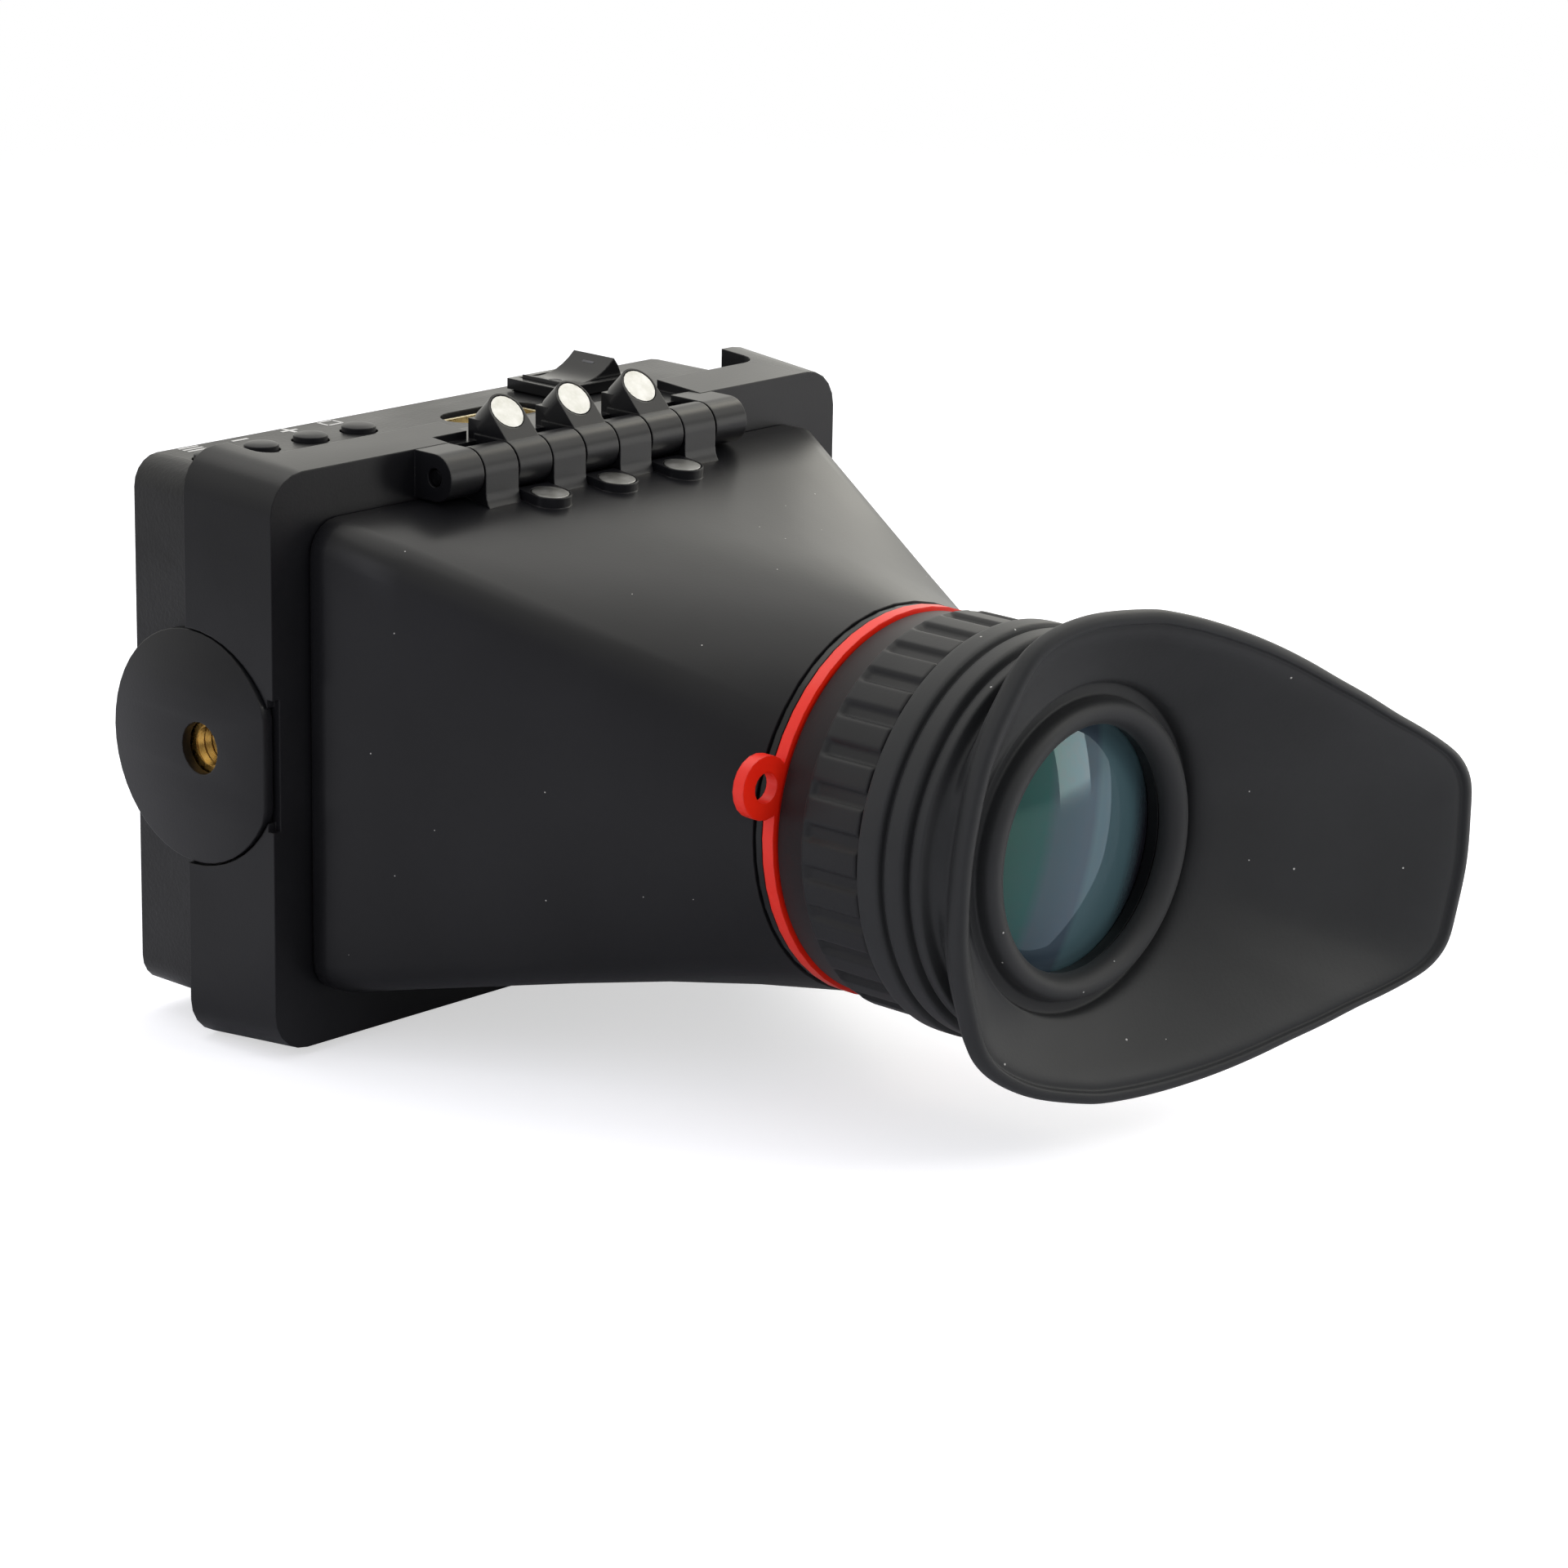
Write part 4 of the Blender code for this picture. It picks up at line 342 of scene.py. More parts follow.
# Polybutylene terephthalate, or PBT, is the dull heatproof plastic of sockets.
jack_pbt = moulded("moulded_pbt_matt", "#111112", "#161617", 4.0, 0.30, 0.006, (0.50, 0.60), PLASTIC)
# Grey nylon is dull and a little lighter. It also serves for the faint marks on the rocker.
switch_nylon = moulded("moulded_nylon_grey", "#505052", "#5e5e60", 3.0, 0.30, 0.006, (0.45, 0.55), PLASTIC)
# The backlight's acrylic is milky, so it spreads light evenly and shows no reflection.
diffuser = moulded("moulded_acrylic_diffuser", "#dededa", "#e8e8e5", 9.0, 0.50, 0.004, (0.45, 0.55),
                   PLASTIC)
print("moulded plastics", len([m for m in bpy.data.materials if m.name.startswith("moulded")]))

# %% [markdown]
# ## Rubber
# The eyecup is moulded in silicone rubber filled with carbon black, the focus grip in a firmer
# nitrile rubber over a plastic ring. Rubber scatters light in a wide, weak lobe, so its
# roughness is high, and it holds dust. A little sheen lightens it where it curves away.

# %% Rubber finishes
RUBBER = {"IOR": 1.47, "Specular IOR Level": 0.38, "Sheen Weight": 0.04, "Sheen Roughness": 0.5}
eyecup_rubber = moulded("moulded_silicone_rubber", "#1f2021", "#252627", 18.0, 0.45, 0.012, (0.50, 0.60),
                        RUBBER, edge_mm=0.3, dust=0.032)
grip_rubber = moulded("moulded_nitrile_rubber", "#131315", "#18181a", 10.0, 0.40, 0.012, (0.46, 0.58),
                      RUBBER, edge_mm=0.2)
print("rubber finishes", eyecup_rubber.name, grip_rubber.name)

# %% [markdown]
# ## The red strap ring
# Coloured through and through, it is moulded in acetal, a slippery plastic that is a little
# translucent. Its colour glows where light enters, which a small subsurface share gives.

# %% Red acetal
red_acetal = moulded("moulded_acetal_red", "#ee200a", "#f6260c", 7.0, 0.50, 0.003, (0.30, 0.38),
                     {"IOR": 1.48, "Subsurface Weight": 0.15, "Subsurface Scale": 0.0008}, edge_mm=0.2)
red_acetal.node_tree.nodes["Principled BSDF"].inputs["Subsurface Radius"].default_value = (1.0, 0.2, 0.1)
print("red ring", red_acetal.name)

# %% [markdown]
# ## Metals
# The little magnets are nickel plated: bright, with a faint dull mottle from tumbling. The
# thread inserts are turned brass, whose tool leaves rings round the axis. The socket's shell is
# stamped and gilt, and the screws and the hinge pin are blackened steel. A metal has no
# diffuse colour, so its base colour is the colour of its reflections.

# %% A function for metals


def metal(name, dull, bright, mark_mm, relief_mm, sheen, stretch=(1.0, 1.0, 1.0), edge_mm=0.1):
    """A metal with marks of one size, drawn out along an axis by the stretch."""
    material, tree, shader = start(name, {"Metallic": 1.0})
    place = add(tree, "ShaderNodeTexCoord")
    drawn = add(tree, "ShaderNodeMapping", {"Scale": stretch}, {"Vector": place.outputs["Object"]})
    marks = add(tree, "ShaderNodeTexNoise", {"Scale": 1000 / mark_mm, "Detail": 5.0, "Roughness": 0.65},
                {"Vector": drawn.outputs["Vector"]})
    tone = add(tree, "ShaderNodeMapRange", NOISE_SPAN, {"Value": marks.outputs["Fac"]})
    colour = add(tree, "ShaderNodeMix", {"data_type": "RGBA", 6: linear(dull), 7: linear(bright)},
                 {0: tone.outputs["Result"]})
    gloss = add(tree, "ShaderNodeMapRange", {**NOISE_SPAN, "To Min": sheen[0], "To Max": sheen[1]},
                {"Value": marks.outputs["Fac"]})
    rounded = add(tree, "ShaderNodeBevel", {"samples": 4, "Radius": edge_mm * MM})
    bump = add(tree, "ShaderNodeBump", {"Distance": relief_mm * MM},
               {"Height": marks.outputs["Fac"], "Normal": rounded.outputs["Normal"]})
    tree.links.new(colour.outputs[2], shader.inputs["Base Color"])
    tree.links.new(gloss.outputs["Result"], shader.inputs["Roughness"])
    tree.links.new(bump.outputs["Normal"], shader.inputs["Normal"])
    return material


# Barrel-plated nickel is dulled by tumbling, so it mirrors softly.
nickel = metal("plated_nickel", "#a4a4a0", "#bababa", 1.8, 0.002, (0.32, 0.40), edge_mm=0.15)
# Turned brass is drawn coarser than its real tool marks, which are near 0.05 mm.
brass = metal("turned_brass", "#b98a3e", "#e0b565", 0.4, 0.010, (0.20, 0.34), stretch=(4.0, 0.6, 0.6))
# A thin gilt on the stamped shell is pale and slightly rough.
gilt = metal("stamped_gilt_shell", "#d8c9a0", "#efe3c0", 0.8, 0.004, (0.22, 0.34))
# Blackened steel keeps a faint metallic shine under its oxide.
black_steel = metal("blackened_steel", "#2a2a2c", "#3a3a3c", 0.7, 0.006, (0.32, 0.44))
print("metals", nickel.name, brass.name, gilt.name, black_steel.name)

# %% [markdown]
# ## Glass, screen and boards
# The eye lens is optical glass with a stack of very thin coatings that cancel most reflection
# and leave a teal one. The light that comes back out of the black tube is slight, so the glass
# is drawn as a dark teal body under a clear polished face, with a thin film that tints what it
# mirrors. The tones across it are painted light and shade that stand for the tube seen through
# the glass: its green wall, painted light from the pale field lens at its far end, and painted
# shade at the right for the wall in shadow.

# %% Coated glass
coated_glass, tree, shader = start("coated_optical_glass", {
    "IOR": 1.52, "Roughness": 0.02, "Specular IOR Level": 0.4, "Coat Weight": 0.25, "Coat Roughness": 0.01,
    "Thin Film Thickness": 420.0, "Thin Film IOR": 1.38})
TUBE_ACROSS = 34.0 * MM
TUBE_SLANT = math.radians(14.0)
LINT_MM = 1.11
place = add(tree, "ShaderNodeTexCoord")
across = add(tree, "ShaderNodeMapping", {"vector_type": "TEXTURE", "Location": AXIS,
                                         "Rotation": (0.0, TUBE_SLANT, 0.0),
                                         "Scale": (TUBE_ACROSS, TUBE_ACROSS, TUBE_ACROSS)},
             {"Vector": place.outputs["Object"]})
sides = add(tree, "ShaderNodeSeparateXYZ", links={"Vector": across.outputs["Vector"]})
share = add(tree, "ShaderNodeMath", {"operation": "ADD", 1: 0.5}, {0: sides.outputs["X"]})
# This ramp paints light and shade into the glass's colour: teal and green at the left for the tube's wall,
# a paler band of painted light from the field lens, and painted shade at the right edge.
painted_tube_view = add(tree, "ShaderNodeValToRGB", links={"Fac": share.outputs["Value"]})
painted_tube_view.color_ramp.elements[0].position = 0.04
painted_tube_view.color_ramp.elements[0].color = linear("#173e3b")
painted_tube_view.color_ramp.elements[1].position = 0.97
painted_tube_view.color_ramp.elements[1].color = linear("#26262c")
PAINTED_TUBE_VIEW_STOPS = ((0.30, "#1b4442"), (0.36, "#37434c"), (0.56, "#3b4751"), (0.60, "#455b60"), (0.84, "#3e5459"))
for stop, code in PAINTED_TUBE_VIEW_STOPS:
    painted_tube_view.color_ramp.elements.new(stop).color = linear(code)
tree.links.new(painted_tube_view.outputs["Color"], shader.inputs["Base Color"])
lint = add(tree, "ShaderNodeTexNoise", {"Scale": 1000 / LINT_MM, "Detail": 3.0},
           {"Vector": place.outputs["Object"]})
film = add(tree, "ShaderNodeMapRange", {"From Min": 0.45, "From Max": 0.75, "To Min": 0.02, "To Max": 0.07},
           {"Value": lint.outputs["Fac"]})
tree.links.new(film.outputs["Result"], shader.inputs["Roughness"])
print("coated glass nodes", len(tree.nodes))

# %% The acrylic window and the panel behind it
# Cast acrylic is clear and flat, with a haze where it was wiped.
SMEAR_MM = 16.7
acrylic, tree, shader = start("cast_acrylic_clear", {"IOR": 1.49, "Transmission Weight": 1.0,
                                                     "Base Color": linear("#f4f6f7")})
place = add(tree, "ShaderNodeTexCoord")
wiped = add(tree, "ShaderNodeTexNoise", {"Scale": 1000 / SMEAR_MM, "Detail": 3.0},
            {"Vector": place.outputs["Object"]})
haze = add(tree, "ShaderNodeMapRange", {"From Min": 0.4, "From Max": 0.8, "To Min": 0.02, "To Max": 0.10},
           {"Value": wiped.outputs["Fac"]})
tree.links.new(haze.outputs["Result"], shader.inputs["Roughness"])
# The switched-off panel is a dark satin sheet, because its polariser kills most of the shine.
PIXEL_MM = 0.4
panel_glass, tree, shader = start("polarised_panel_glass", {"IOR": 1.5, "Roughness": 0.12})
place = add(tree, "ShaderNodeTexCoord")
dots = add(tree, "ShaderNodeTexChecker", {"Scale": 1000 / PIXEL_MM, "Color1": linear("#141519"),
                                          "Color2": linear("#1a1c21")}, {"Vector": place.outputs["Object"]})
tree.links.new(dots.outputs["Color"], shader.inputs["Base Color"])
print("the panel's pixels are about 0.06 mm, drawn as", PIXEL_MM)

# %% [markdown]
# ## The circuit boards
# Glass-fibre board is green where its solder mask covers the laminate, and a little lighter
# where copper tracks run under the mask. A brick pattern laid along the board gives the tracks.

# %% Solder mask
TRACK_MM = 1.2
BRICK_MM = 4 * TRACK_MM
solder_mask, tree, shader = start("solder_mask_on_fibre_board", {"IOR": 1.5})
place = add(tree, "ShaderNodeTexCoord")
tracks = add(tree, "ShaderNodeTexBrick", {"Scale": 1000 / BRICK_MM, "Mortar Size": 0.06,
                                          "Color1": linear("#0d3b1d"), "Color2": linear("#0f4422"),
                                          "Mortar": linear("#1c5a30")}, {"Vector": place.outputs["Object"]})
tree.links.new(tracks.outputs["Color"], shader.inputs["Base Color"])
mask_wave = add(tree, "ShaderNodeMapRange", {"To Min": 0.28, "To Max": 0.42},
                {"Value": tracks.outputs["Fac"]})
tree.links.new(mask_wave.outputs["Result"], shader.inputs["Roughness"])
print("board material nodes", len(tree.nodes))

# %% [markdown]
# ## Dressing the CAD nodes
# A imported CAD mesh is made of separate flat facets. Its shape is right, so it stays, and a small
# Geometry Nodes modifier joins the facets and shades them smoothly, except at real edges. That
# is why turned and rounded surfaces show no facets in the highlights.

# %% A modifier that shades facets smoothly
SHARP_FROM = math.radians(32.0)
SAME_POINT = 0.001 * MM
smoother = bpy.data.node_groups.new("smooth_shading_by_angle", "GeometryNodeTree")
smoother.interface.new_socket("Geometry", in_out="INPUT", socket_type="NodeSocketGeometry")
smoother.interface.new_socket("Geometry", in_out="OUTPUT", socket_type="NodeSocketGeometry")
arriving = add(smoother, "NodeGroupInput")
plain = add(smoother, "GeometryNodeRemoveAttribute", {"Name": "custom_normal"},
            {"Geometry": arriving.outputs["Geometry"]})
joined = add(smoother, "GeometryNodeMergeByDistance", {"Distance": SAME_POINT},
             {"Geometry": plain.outputs["Geometry"]})
smooth = add(smoother, "GeometryNodeSetShadeSmooth", {"domain": "FACE", "Shade Smooth": True},
             {"Geometry": joined.outputs["Geometry"]})
angle = add(smoother, "GeometryNodeInputMeshEdgeAngle")
steep = add(smoother, "FunctionNodeCompare", {"operation": "GREATER_THAN", 1: SHARP_FROM},
            {0: angle.outputs["Unsigned Angle"]})
crisp = add(smoother, "GeometryNodeSetShadeSmooth", {"domain": "EDGE", "Shade Smooth": False},
            {"Geometry": smooth.outputs["Geometry"], "Selection": steep.outputs["Result"]})
add(smoother, "NodeGroupOutput", links={"Geometry": crisp.outputs["Geometry"]})
print("sharp edges from", round(math.degrees(SHARP_FROM)), "degrees")

# %% Which finish goes on which node
dressing = {
    satin_abs: ["front_frame", "side_disc_left", "side_disc_right", "lens_carrier", "lens_spacer",
                "lens_retainer", "rear_cover"],
    hood_abs: ["hood"],
    grained_abs: ["rear_housing"],
    key_abs: ["key_1", "key_2", "key_3", "key_4"],
    gloss_abs: ["switch_body", "rocker", "neck_ring"],
    jack_pbt: ["power_jack"],
    switch_nylon: ["tact_switch_1", "tact_switch_2", "tact_switch_3", "tact_switch_4"],
    diffuser: ["backlight"],
    red_acetal: ["strap_ring"],
    nickel: ["frame_magnet_1", "frame_magnet_2", "frame_magnet_3", "hood_magnet_1", "hood_magnet_2",
             "hood_magnet_3"],
    brass: ["thread_insert_left", "thread_insert_right"],
    gilt: ["signal_socket"],
    black_steel: ["hinge_pin", "cover_screw_1", "cover_screw_2", "cover_screw_3", "cover_screw_4"],
    coated_glass: ["field_lens"],
    acrylic: ["display_window"],
    panel_glass: ["lcd_panel"],
    solder_mask: ["main_board", "key_board"],
    grip_rubber: ["focus_ring"],
    eyecup_rubber: ["eyecup"],
}
dressed = 0
for finish, names in dressing.items():
    for name in names:
        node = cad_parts[name]
        for slot in node.material_slots:
            slot.material = finish
        modifier = node.modifiers.new("smooth_shading", "NODES")
        modifier.node_group = smoother
        dressed += 1
print("dressed nodes", dressed)

# %% [markdown]
# ## A loft
# The rubber, the grip and the lens are all swept round the eyepiece axis. Each is a stack of
# rings with the same number of points, and the loft joins each ring to the next with quads.

# %% The loft
LOFT_SAME_POINT = 0.0001 * MM


def loft(name, rings, body, stands_for, finish, levels=0):
    """Rings joined by quads into one closed skin that rides on a body and replaces a node."""
    work = bmesh.new()
    rows = [[work.verts.new(point) for point in ring] for ring in rings]
    for row, after in zip(rows, rows[1:] + rows[:1]):
        for index in range(len(row)):
            beside = (index + 1) % len(row)
            work.faces.new((row[index], row[beside], after[beside], after[index]))
    bmesh.ops.remove_doubles(work, verts=work.verts, dist=LOFT_SAME_POINT)
    bmesh.ops.recalc_face_normals(work, faces=work.faces)
    mesh = bpy.data.meshes.new(name)
    work.to_mesh(mesh)
    work.free()
    mesh.shade_smooth()
    mesh.materials.append(finish)
    piece = bpy.data.objects.new(name, mesh)
    bpy.context.scene.collection.objects.link(piece)
    if levels:
        rounding = piece.modifiers.new("rounding", "SUBSURF")
        rounding.levels = levels
        rounding.render_levels = levels
    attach(piece, body)
    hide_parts(stands_for)
    print(name, len(mesh.polygons), "quads")


# %% [markdown]
# ## The eyecup
# The real eyecup is one piece of rubber. A ribbed sleeve stretches over the eyepiece, a wide
# winged flange shades the eye from the side, and a soft roll rings the lens. The flange's
# outline is a nose on one side and a long wing on the other, so it is drawn as a closed curve
# through a few knots. Every ring of the loft runs from a circle towards that outline.
# A Subdivision Surface then rounds every edge, which is how moulded rubber looks.

# %% The flange's outline
NOSE_REACH = 22.7 * MM
WING_REACH = 53.9 * MM
CUP_HALF_HEIGHT = 31.05 * MM
CUP_TURN = math.radians(-8.8)
CUP_KNOTS = (
    (-1.0, 0.0), (-0.98, 0.25), (-0.94, 0.43), (-0.86, 0.61), (-0.70, 0.84), (-0.40, 0.96), (0.0, 1.0),
    (0.092, 0.99), (0.184, 0.963), (0.276, 0.925), (0.368, 0.878), (0.46, 0.82), (0.55, 0.755),
    (0.643, 0.69), (0.735, 0.618), (0.827, 0.552), (0.915, 0.475), (0.955, 0.415), (0.98, 0.34),
    (0.99, 0.22), (1.0, 0.0),
)
KNOT_STEPS = 24


def smooth_outline(count):
    """Evenly spaced points on a closed Catmull-Rom curve through the knots."""
    upper = [Vector((u * (WING_REACH if u > 0.0 else NOSE_REACH), w * CUP_HALF_HEIGHT))
             for u, w in CUP_KNOTS]
    knots = upper + [Vector((point.x, -point.y)) for point in upper[-2:0:-1]]
    dense = []
    for index in range(len(knots)):
        before, begin, end, after = (knots[(index + shift) % len(knots)] for shift in (-1, 0, 1, 2))
        bend = 2 * before - 5 * begin + 4 * end - after
        twist = 3 * begin - before - 3 * end + after
        for step in range(KNOT_STEPS):
            t = step / KNOT_STEPS
            dense.append(0.5 * (2 * begin + (end - before) * t + bend * t * t + twist * t ** 3))
    walked = [0.0]
    for index in range(len(dense)):
        walked.append(walked[-1] + (dense[(index + 1) % len(dense)] - dense[index]).length)
    points = []
    place = 0
    for step in range(count):
        wanted = walked[-1] * step / count
        while walked[place + 1] < wanted:
            place += 1
        share = (wanted - walked[place]) / (walked[place + 1] - walked[place])
        points.append(dense[place].lerp(dense[(place + 1) % len(dense)], share))
    return points


CUP_POINTS = 150
outline = smooth_outline(CUP_POINTS)
cup_turns = [math.atan2(point.y, point.x) for point in outline]
print("outline", CUP_POINTS, "points")

# %% Two kinds of ring for the eyecup
CUP_LEAN = 0.265
RIM_FRONT = 98.0 * MM


def cup_point(u, w, distance):
    """A point of the eyecup, turned about the axis the way it is worn."""
    cosine, sine = math.cos(CUP_TURN), math.sin(CUP_TURN)
    return ahead(u * cosine - w * sine, u * sine + w * cosine, distance)


def cup_ring(radius_mm, distance_mm):
    """A round ring of the eyecup."""
    return [cup_point(radius_mm * MM * math.cos(turn), radius_mm * MM * math.sin(turn), distance_mm * MM)
            for turn in cup_turns]


def flange_ring(radius_mm, distance_mm, share, lift_mm, spread_mm, dish_mm=0.0, lean=0.0):
    """A ring on the way from a circle to the rim, lifted off it, widened and dished between them."""
    points = []
    for turn, rim in zip(cup_turns, outline):
        wide = rim + rim.normalized() * spread_mm * MM
        u = radius_mm * MM * math.cos(turn) * (1.0 - share) + wide.x * share
        w = radius_mm * MM * math.sin(turn) * (1.0 - share) + wide.y * share
        rim_distance = RIM_FRONT + CUP_LEAN * rim.x + lift_mm * MM
        sag = 4.0 * dish_mm * MM * share * (1.0 - share) * (rim.length / WING_REACH)
        inner = (distance_mm + lean * radius_mm * math.cos(turn)) * MM
        points.append(cup_point(u, w, inner * (1.0 - share) + rim_distance * share - sag))
    return points


print("the rim's front is", RIM_FRONT / MM, "mm before the frame")

# %% The round parts of the eyecup, as radius and distance in mm
# From the back forwards: the sleeve's three ribs with a groove between each two.
sleeve = [
    (24.5, 78.7), (26.6, 78.7), (26.93, 78.8), (27.0, 79.1), (27.0, 81.9), (26.93, 82.15), (26.0, 82.25),
    (25.85, 82.4), (25.85, 82.75), (26.0, 82.9), (26.5, 82.95), (26.6, 83.2), (26.6, 85.55), (26.5, 85.8),
    (25.3, 85.9), (25.1, 86.05), (25.1, 86.3), (25.25, 86.45), (25.7, 86.5), (25.8, 86.7), (25.8, 88.0),
    (25.65, 88.2), (24.2, 88.3), (23.9, 88.5), (23.7, 88.9),
]
# In front of the flange: the groove round the roll, the roll, and the seat on the lens carrier.
groove = [
    (21.4, 92.6), (21.38, 92.0), (21.25, 91.82), (20.95, 91.8), (19.9, 91.8), (19.65, 91.86),
    (19.55, 92.05),
]
roll = [
    (19.5, 92.7), (19.45, 93.4), (19.2, 93.95), (18.75, 94.35), (18.0, 94.5), (17.3, 94.35), (16.7, 93.95),
    (16.2, 93.3), (16.0, 92.5), (16.0, 91.8), (16.1, 91.55),
]
inside = [
    (17.2, 91.5), (21.0, 91.5), (21.45, 91.4), (21.45, 90.0), (21.45, 84.0), (21.6, 83.75), (24.4, 83.65),
    (24.5, 83.5), (24.5, 81.0),
]
print("round rings", len(sleeve + groove + roll + inside))

# %% The flange between them, and the whole eyecup
BACK_ROOT = (23.6, 89.0)
FRONT_ROOT = (21.5, 92.9)
BACK_LIFT_MM = -1.8
FRONT_LIFT_MM = 0.3
BEAD_WIDTH_MM = 2.4
DISH_MM = 0.7
ROOT_LEAN = 0.035
# The rim's round bead, as lift off the rim and spread beyond it in mm. It ends in a small step.
bead = [
    (-1.35, 0.0), (-1.1, 0.35), (-0.55, 0.50), (0.15, 0.50), (0.75, 0.36), (1.1, 0.05), (1.22, -0.4),
    (1.20, -0.85), (1.10, -1.05), (0.85, -1.15), (0.50, -1.2), (0.32, -1.3), (0.28, -1.5), (0.28, -2.1),
]
cup_rings = [cup_ring(*pair) for pair in sleeve]
cup_rings += [flange_ring(*BACK_ROOT, share, BACK_LIFT_MM, 0.0) for share in (0.12, 0.35, 0.6, 0.85, 0.95)]
cup_rings += [flange_ring(*BACK_ROOT, 1.0, *pair) for pair in bead]
cup_rings += [flange_ring(*FRONT_ROOT, share, FRONT_LIFT_MM, -BEAD_WIDTH_MM, DISH_MM, ROOT_LEAN)
              for share in (0.9, 0.7, 0.5, 0.3, 0.12, 0.03)]
cup_rings += [cup_ring(*pair) for pair in groove + roll + inside]
loft("eyecup_moulding", cup_rings, "eyecup", "eyecup", eyecup_rubber, levels=1)

# %% [markdown]
# ## The focus grip
# A plain band carries the ring, and in front of it a rubber grip has thirty scoops, each as wide
# as a fingertip's ridge. The scoops run out in a curve before they reach the band. The shape is
# a radius that depends on the angle and on the distance, so one loft makes it.

# %% The focus grip
SCOOPS = 30
SCOOP_SHARE = 0.50
SCOOP_EDGE = 0.26
SCOOP_DEPTH = 0.70 * MM
BAND_RADIUS = 25.2 * MM
BAR_RADIUS = 26.2 * MM
BAND_FRONT = 68.4 * MM
GRIP_FRONT = 78.0 * MM
GRIP_BACK = 63.7 * MM
BAND_CHAMFER = 0.2 * MM
SHOULDER = 0.5 * MM
SCOOP_START = 0.1 * MM
SCOOP_RUN_OUT = 1.4 * MM
BORE_RADIUS = 23.7 * MM
FRONT_BORE_RADIUS = 21.9 * MM
FRONT_BORE_BACK = 76.6 * MM


def softened(value):
    """A share held between 0 and 1 that starts and ends gently."""
    value = min(1.0, max(0.0, value))
    return value * value * (3.0 - 2.0 * value)


def grip_radius(turn, distance):
    """The grip's radius at an angle, with scoops that end softly near the band."""
    share = abs((turn * SCOOPS / (2 * math.pi)) % 1.0 - 0.5) * 2.0
    hollow = softened((SCOOP_SHARE - share) / SCOOP_EDGE)
    run_out = softened((distance - BAND_FRONT - SCOOP_START) / SCOOP_RUN_OUT)
    rise = min(1.0, max(0.0, (distance - BAND_FRONT) / SHOULDER))
    rise = math.sqrt(1.0 - (1.0 - rise) ** 2)
    return BAND_RADIUS + (BAR_RADIUS - BAND_RADIUS) * rise - SCOOP_DEPTH * hollow * run_out


POINTS_PER_SCOOP = 20
GRIP_POINTS = SCOOPS * POINTS_PER_SCOOP
grip_turns = [2 * math.pi * (step + 0.5) / GRIP_POINTS for step in range(GRIP_POINTS)]


def grip_ring(radius, distance):
    """A ring of the grip, plain if the radius is a number."""
    points = []
    for turn in grip_turns:
        reach = radius if isinstance(radius, float) else radius(turn, distance)
        points.append(ahead(reach * math.cos(turn), reach * math.sin(turn), distance))
    return points


def front_edge_radius(turn, distance):
    """The grip's radius at its front face, drawn in by the rounding of the edge."""
    return grip_radius(turn, distance) - FRONT_ROUNDING


FRONT_ROUNDING = 0.25 * MM
GRIP_STEPS_MM = (0.02, 0.1, 0.25, 0.5, 1.0, 1.3, 1.6, 1.9, 2.3, 3.5, 5.5, 7.5, 9.0, 9.35)
grip_rings = [grip_ring(BORE_RADIUS, GRIP_BACK), grip_ring(BAND_RADIUS - BAND_CHAMFER, GRIP_BACK),
              grip_ring(BAND_RADIUS, GRIP_BACK + BAND_CHAMFER),
              grip_ring(BAND_RADIUS, BAND_FRONT - BAND_CHAMFER)]
grip_rings += [grip_ring(grip_radius, BAND_FRONT + step * MM) for step in GRIP_STEPS_MM]
grip_rings += [grip_ring(front_edge_radius, GRIP_FRONT), grip_ring(FRONT_BORE_RADIUS, GRIP_FRONT),
               grip_ring(FRONT_BORE_RADIUS, FRONT_BORE_BACK), grip_ring(BORE_RADIUS, FRONT_BORE_BACK)]
loft("focus_grip", grip_rings, "focus_ring", "focus_ring", grip_rubber)

# %% [markdown]
# ## The eye lens
# A lens is two polished shallow domes on one rim. The CAD lens has few facets, and a mirror-like
# surface shows every one of them, so this one is turned with a fine profile.

# %% The eye lens
LENS_CLEAR = 16.3 * MM
LENS_SEAT = 18.2 * MM
LENS_EDGE = 3.0 * MM
LENS_BULGE = 2.6 * MM
LENS_PLACE = 87.8 * MM
LENS_STEPS = 22
LENS_POINTS = 128


def lens_ring(radius, distance):
    """A ring of the lens."""
    return [ahead(radius * math.cos(turn), radius * math.sin(turn), distance)
            for turn in (2 * math.pi * step / LENS_POINTS for step in range(LENS_POINTS))]


front = [(LENS_CLEAR * step / LENS_STEPS, LENS_EDGE / 2 + LENS_BULGE * (1.0 - (step / LENS_STEPS) ** 2))
         for step in range(1, LENS_STEPS + 1)]
front = [(0.0, LENS_EDGE / 2 + LENS_BULGE)] + front + [(LENS_SEAT, LENS_EDGE / 2)]
lens_rings = [lens_ring(radius, LENS_PLACE + rise) for radius, rise in front]
lens_rings += [lens_ring(radius, LENS_PLACE - rise) for radius, rise in reversed(front)]
loft("eye_lens_glass", lens_rings, "lens_carrier", "eye_lens", coated_glass)

# %% [markdown]
# ## Printed marks
# Pad printing lays a film of white ink about 0.02 mm thick behind each key. Each mark is a thin
# shape whose points are dropped onto the surface below, so that it lies on the plastic and follows
# it. The marks are plain signs: lines for the list, minus, plus and a square to leave. The usual
# circle and bar on the rocker are much fainter, so they are laid down in a dark grey.

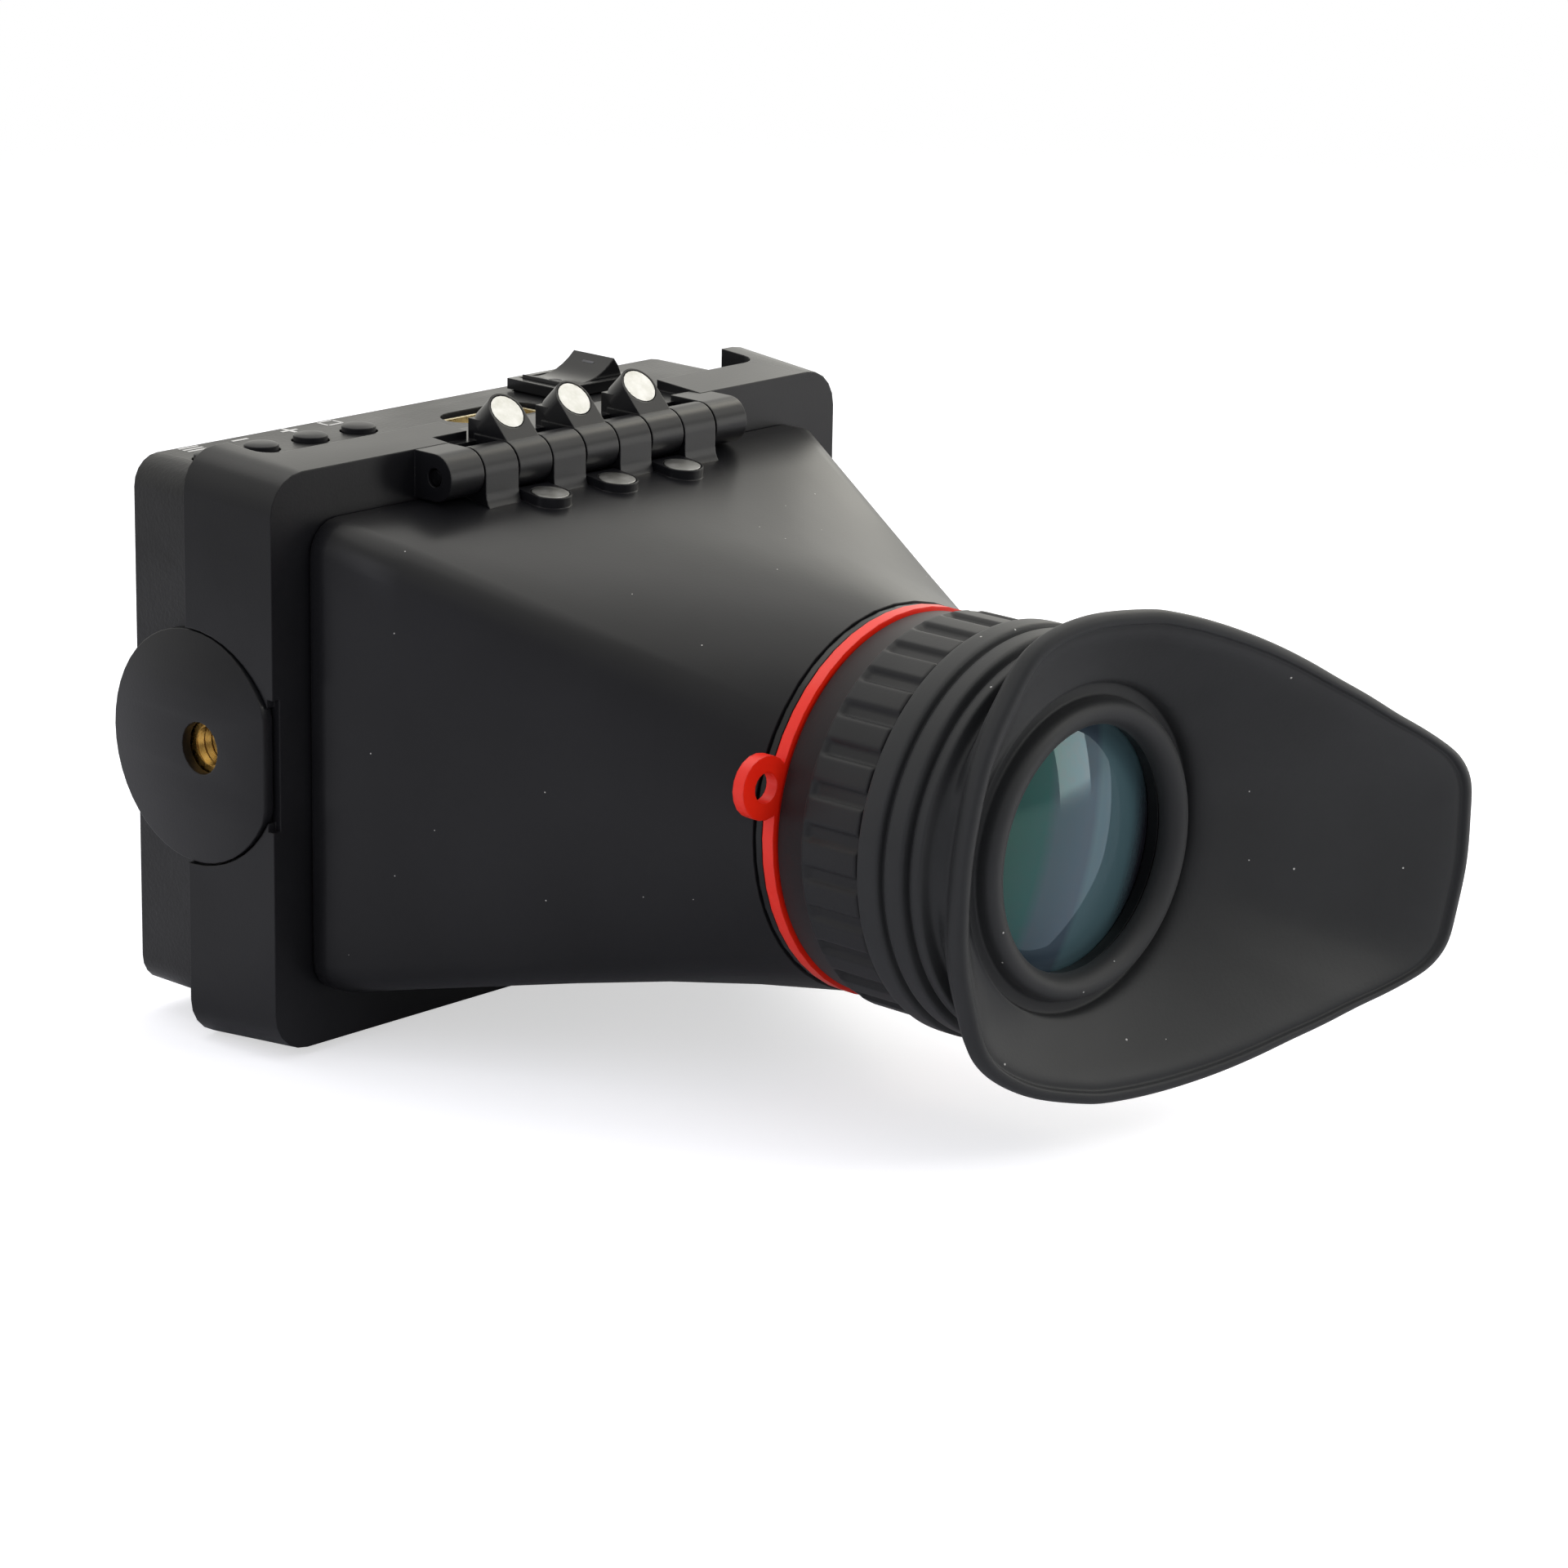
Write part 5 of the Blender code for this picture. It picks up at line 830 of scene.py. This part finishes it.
# %% Ink and a function that lays it down
# Pad-printed ink is a thin matt film, a little worn, so its white is broken and greyish.
WEAR_MM = 0.56
ink, tree, shader = start("pad_printed_white_ink", {"IOR": 1.5})
place = add(tree, "ShaderNodeTexCoord")
worn = add(tree, "ShaderNodeTexNoise", {"Scale": 1000 / WEAR_MM, "Detail": 3.0},
           {"Vector": place.outputs["Object"]})
ink_tone = add(tree, "ShaderNodeMix", {"data_type": "RGBA", 6: linear("#b9b8b4"), 7: linear("#dddcd8")},
               {0: worn.outputs["Fac"]})
tree.links.new(ink_tone.outputs[2], shader.inputs["Base Color"])
ink_gloss = add(tree, "ShaderNodeMapRange", {"To Min": 0.35, "To Max": 0.6}, {"Value": worn.outputs["Fac"]})
tree.links.new(ink_gloss.outputs["Result"], shader.inputs["Roughness"])
INK_LIFT = 0.03 * MM
INK_THICKNESS = 0.021 * MM
DROP_HEIGHT = 20.0 * MM


def surface_below(node_name):
    """A tree of a CAD node's faces that answers where a ray from above meets it."""
    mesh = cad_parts[node_name].data
    return BVHTree.FromPolygons([vertex.co for vertex in mesh.vertices],
                                [tuple(face.vertices) for face in mesh.polygons])


def printed(name, shapes, middle, node_name, body, finish=ink):
    """Strips of ink, each a row of (left, right) point pairs in mm, dropped onto a surface."""
    below = surface_below(node_name)
    work = bmesh.new()
    for strip in shapes:
        rails = []
        for pair in strip:
            corners = []
            for x, y in pair:
                above = middle + Vector((x * MM, y * MM, DROP_HEIGHT))
                hit = below.ray_cast(above, Vector((0.0, 0.0, -1.0)))[0]
                corners.append(work.verts.new((hit.x, hit.y, hit.z + INK_LIFT)))
            rails.append(corners)
        for begin, end in zip(rails, rails[1:]):
            work.faces.new((begin[0], begin[1], end[1], end[0]))
    bmesh.ops.recalc_face_normals(work, faces=work.faces)
    bmesh.ops.solidify(work, geom=list(work.faces), thickness=INK_THICKNESS)
    mesh = bpy.data.meshes.new(name)
    work.to_mesh(mesh)
    work.free()
    mesh.materials.append(finish)
    piece = bpy.data.objects.new(name, mesh)
    bpy.context.scene.collection.objects.link(piece)
    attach(piece, body)


# %% The marks behind the keys and on the rocker


def bar(x_low, x_high, y, thick):
    """A straight strip from left to right."""
    return [((x, y - thick / 2), (x, y + thick / 2)) for x in (x_low, (x_low + x_high) / 2, x_high)]


def upright(x, y_low, y_high, thick):
    """A straight strip from front to back."""
    return [((x + thick / 2, y), (x - thick / 2, y)) for y in (y_low, (y_low + y_high) / 2, y_high)]


def hoop(radius, thick):
    """A closed round strip."""
    turns = [2 * math.pi * step / HOOP_STEPS for step in range(HOOP_STEPS + 1)]
    return [tuple((reach * math.cos(turn), reach * math.sin(turn))
                  for reach in (radius - thick / 2, radius + thick / 2)) for turn in turns]


HOOP_STEPS = 28
MARK_BEHIND = 6.3 * MM
OFF_PLACE = Vector((-3.2 * MM, 0.0, 0.0))
ON_PLACE = Vector((3.2 * MM, 0.0, 0.0))
square = [bar(-1.3, 1.3, -1.1, 0.4), bar(-1.3, 1.3, 1.1, 0.4), upright(-1.3, -1.1, 1.1, 0.4),
          upright(1.3, -1.1, 1.1, 0.4)]
# For each sign: the key it stands behind, how far right of it in mm, and its strips.
signs = {
    "mark_list": ("key_1", 2.2, [bar(-1.7, 1.7, y, 0.5) for y in (-1.0, 0.0, 1.0)]),
    "mark_minus": ("key_2", 1.7, [bar(-1.4, 1.4, 0.0, 0.6)]),
    "mark_plus": ("key_3", 1.8, [bar(-1.4, 1.4, 0.0, 0.6), upright(0.0, 0.3, 1.4, 0.6),
                                 upright(0.0, -1.4, -0.3, 0.6)]),
    "mark_leave": ("key_4", 0.5, square),
}
for name, (key, right_mm, shapes) in signs.items():
    low, high = (Vector(corner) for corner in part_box(key))
    middle = Vector(((low.x + high.x) / 2 + right_mm * MM, (low.y + high.y) / 2 + MARK_BEHIND, high.z))
    printed(name, shapes, middle, "rear_housing", "module")
low, high = (Vector(corner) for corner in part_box("rocker"))
middle = (low + high) / 2
printed("mark_off", [hoop(0.8, 0.25)], middle + OFF_PLACE, "rocker", "rocker", switch_nylon)
printed("mark_on", [upright(0.0, -1.1, 1.1, 0.35)], middle + ON_PLACE, "rocker", "rocker", switch_nylon)
print("marks", len(signs) + 2)
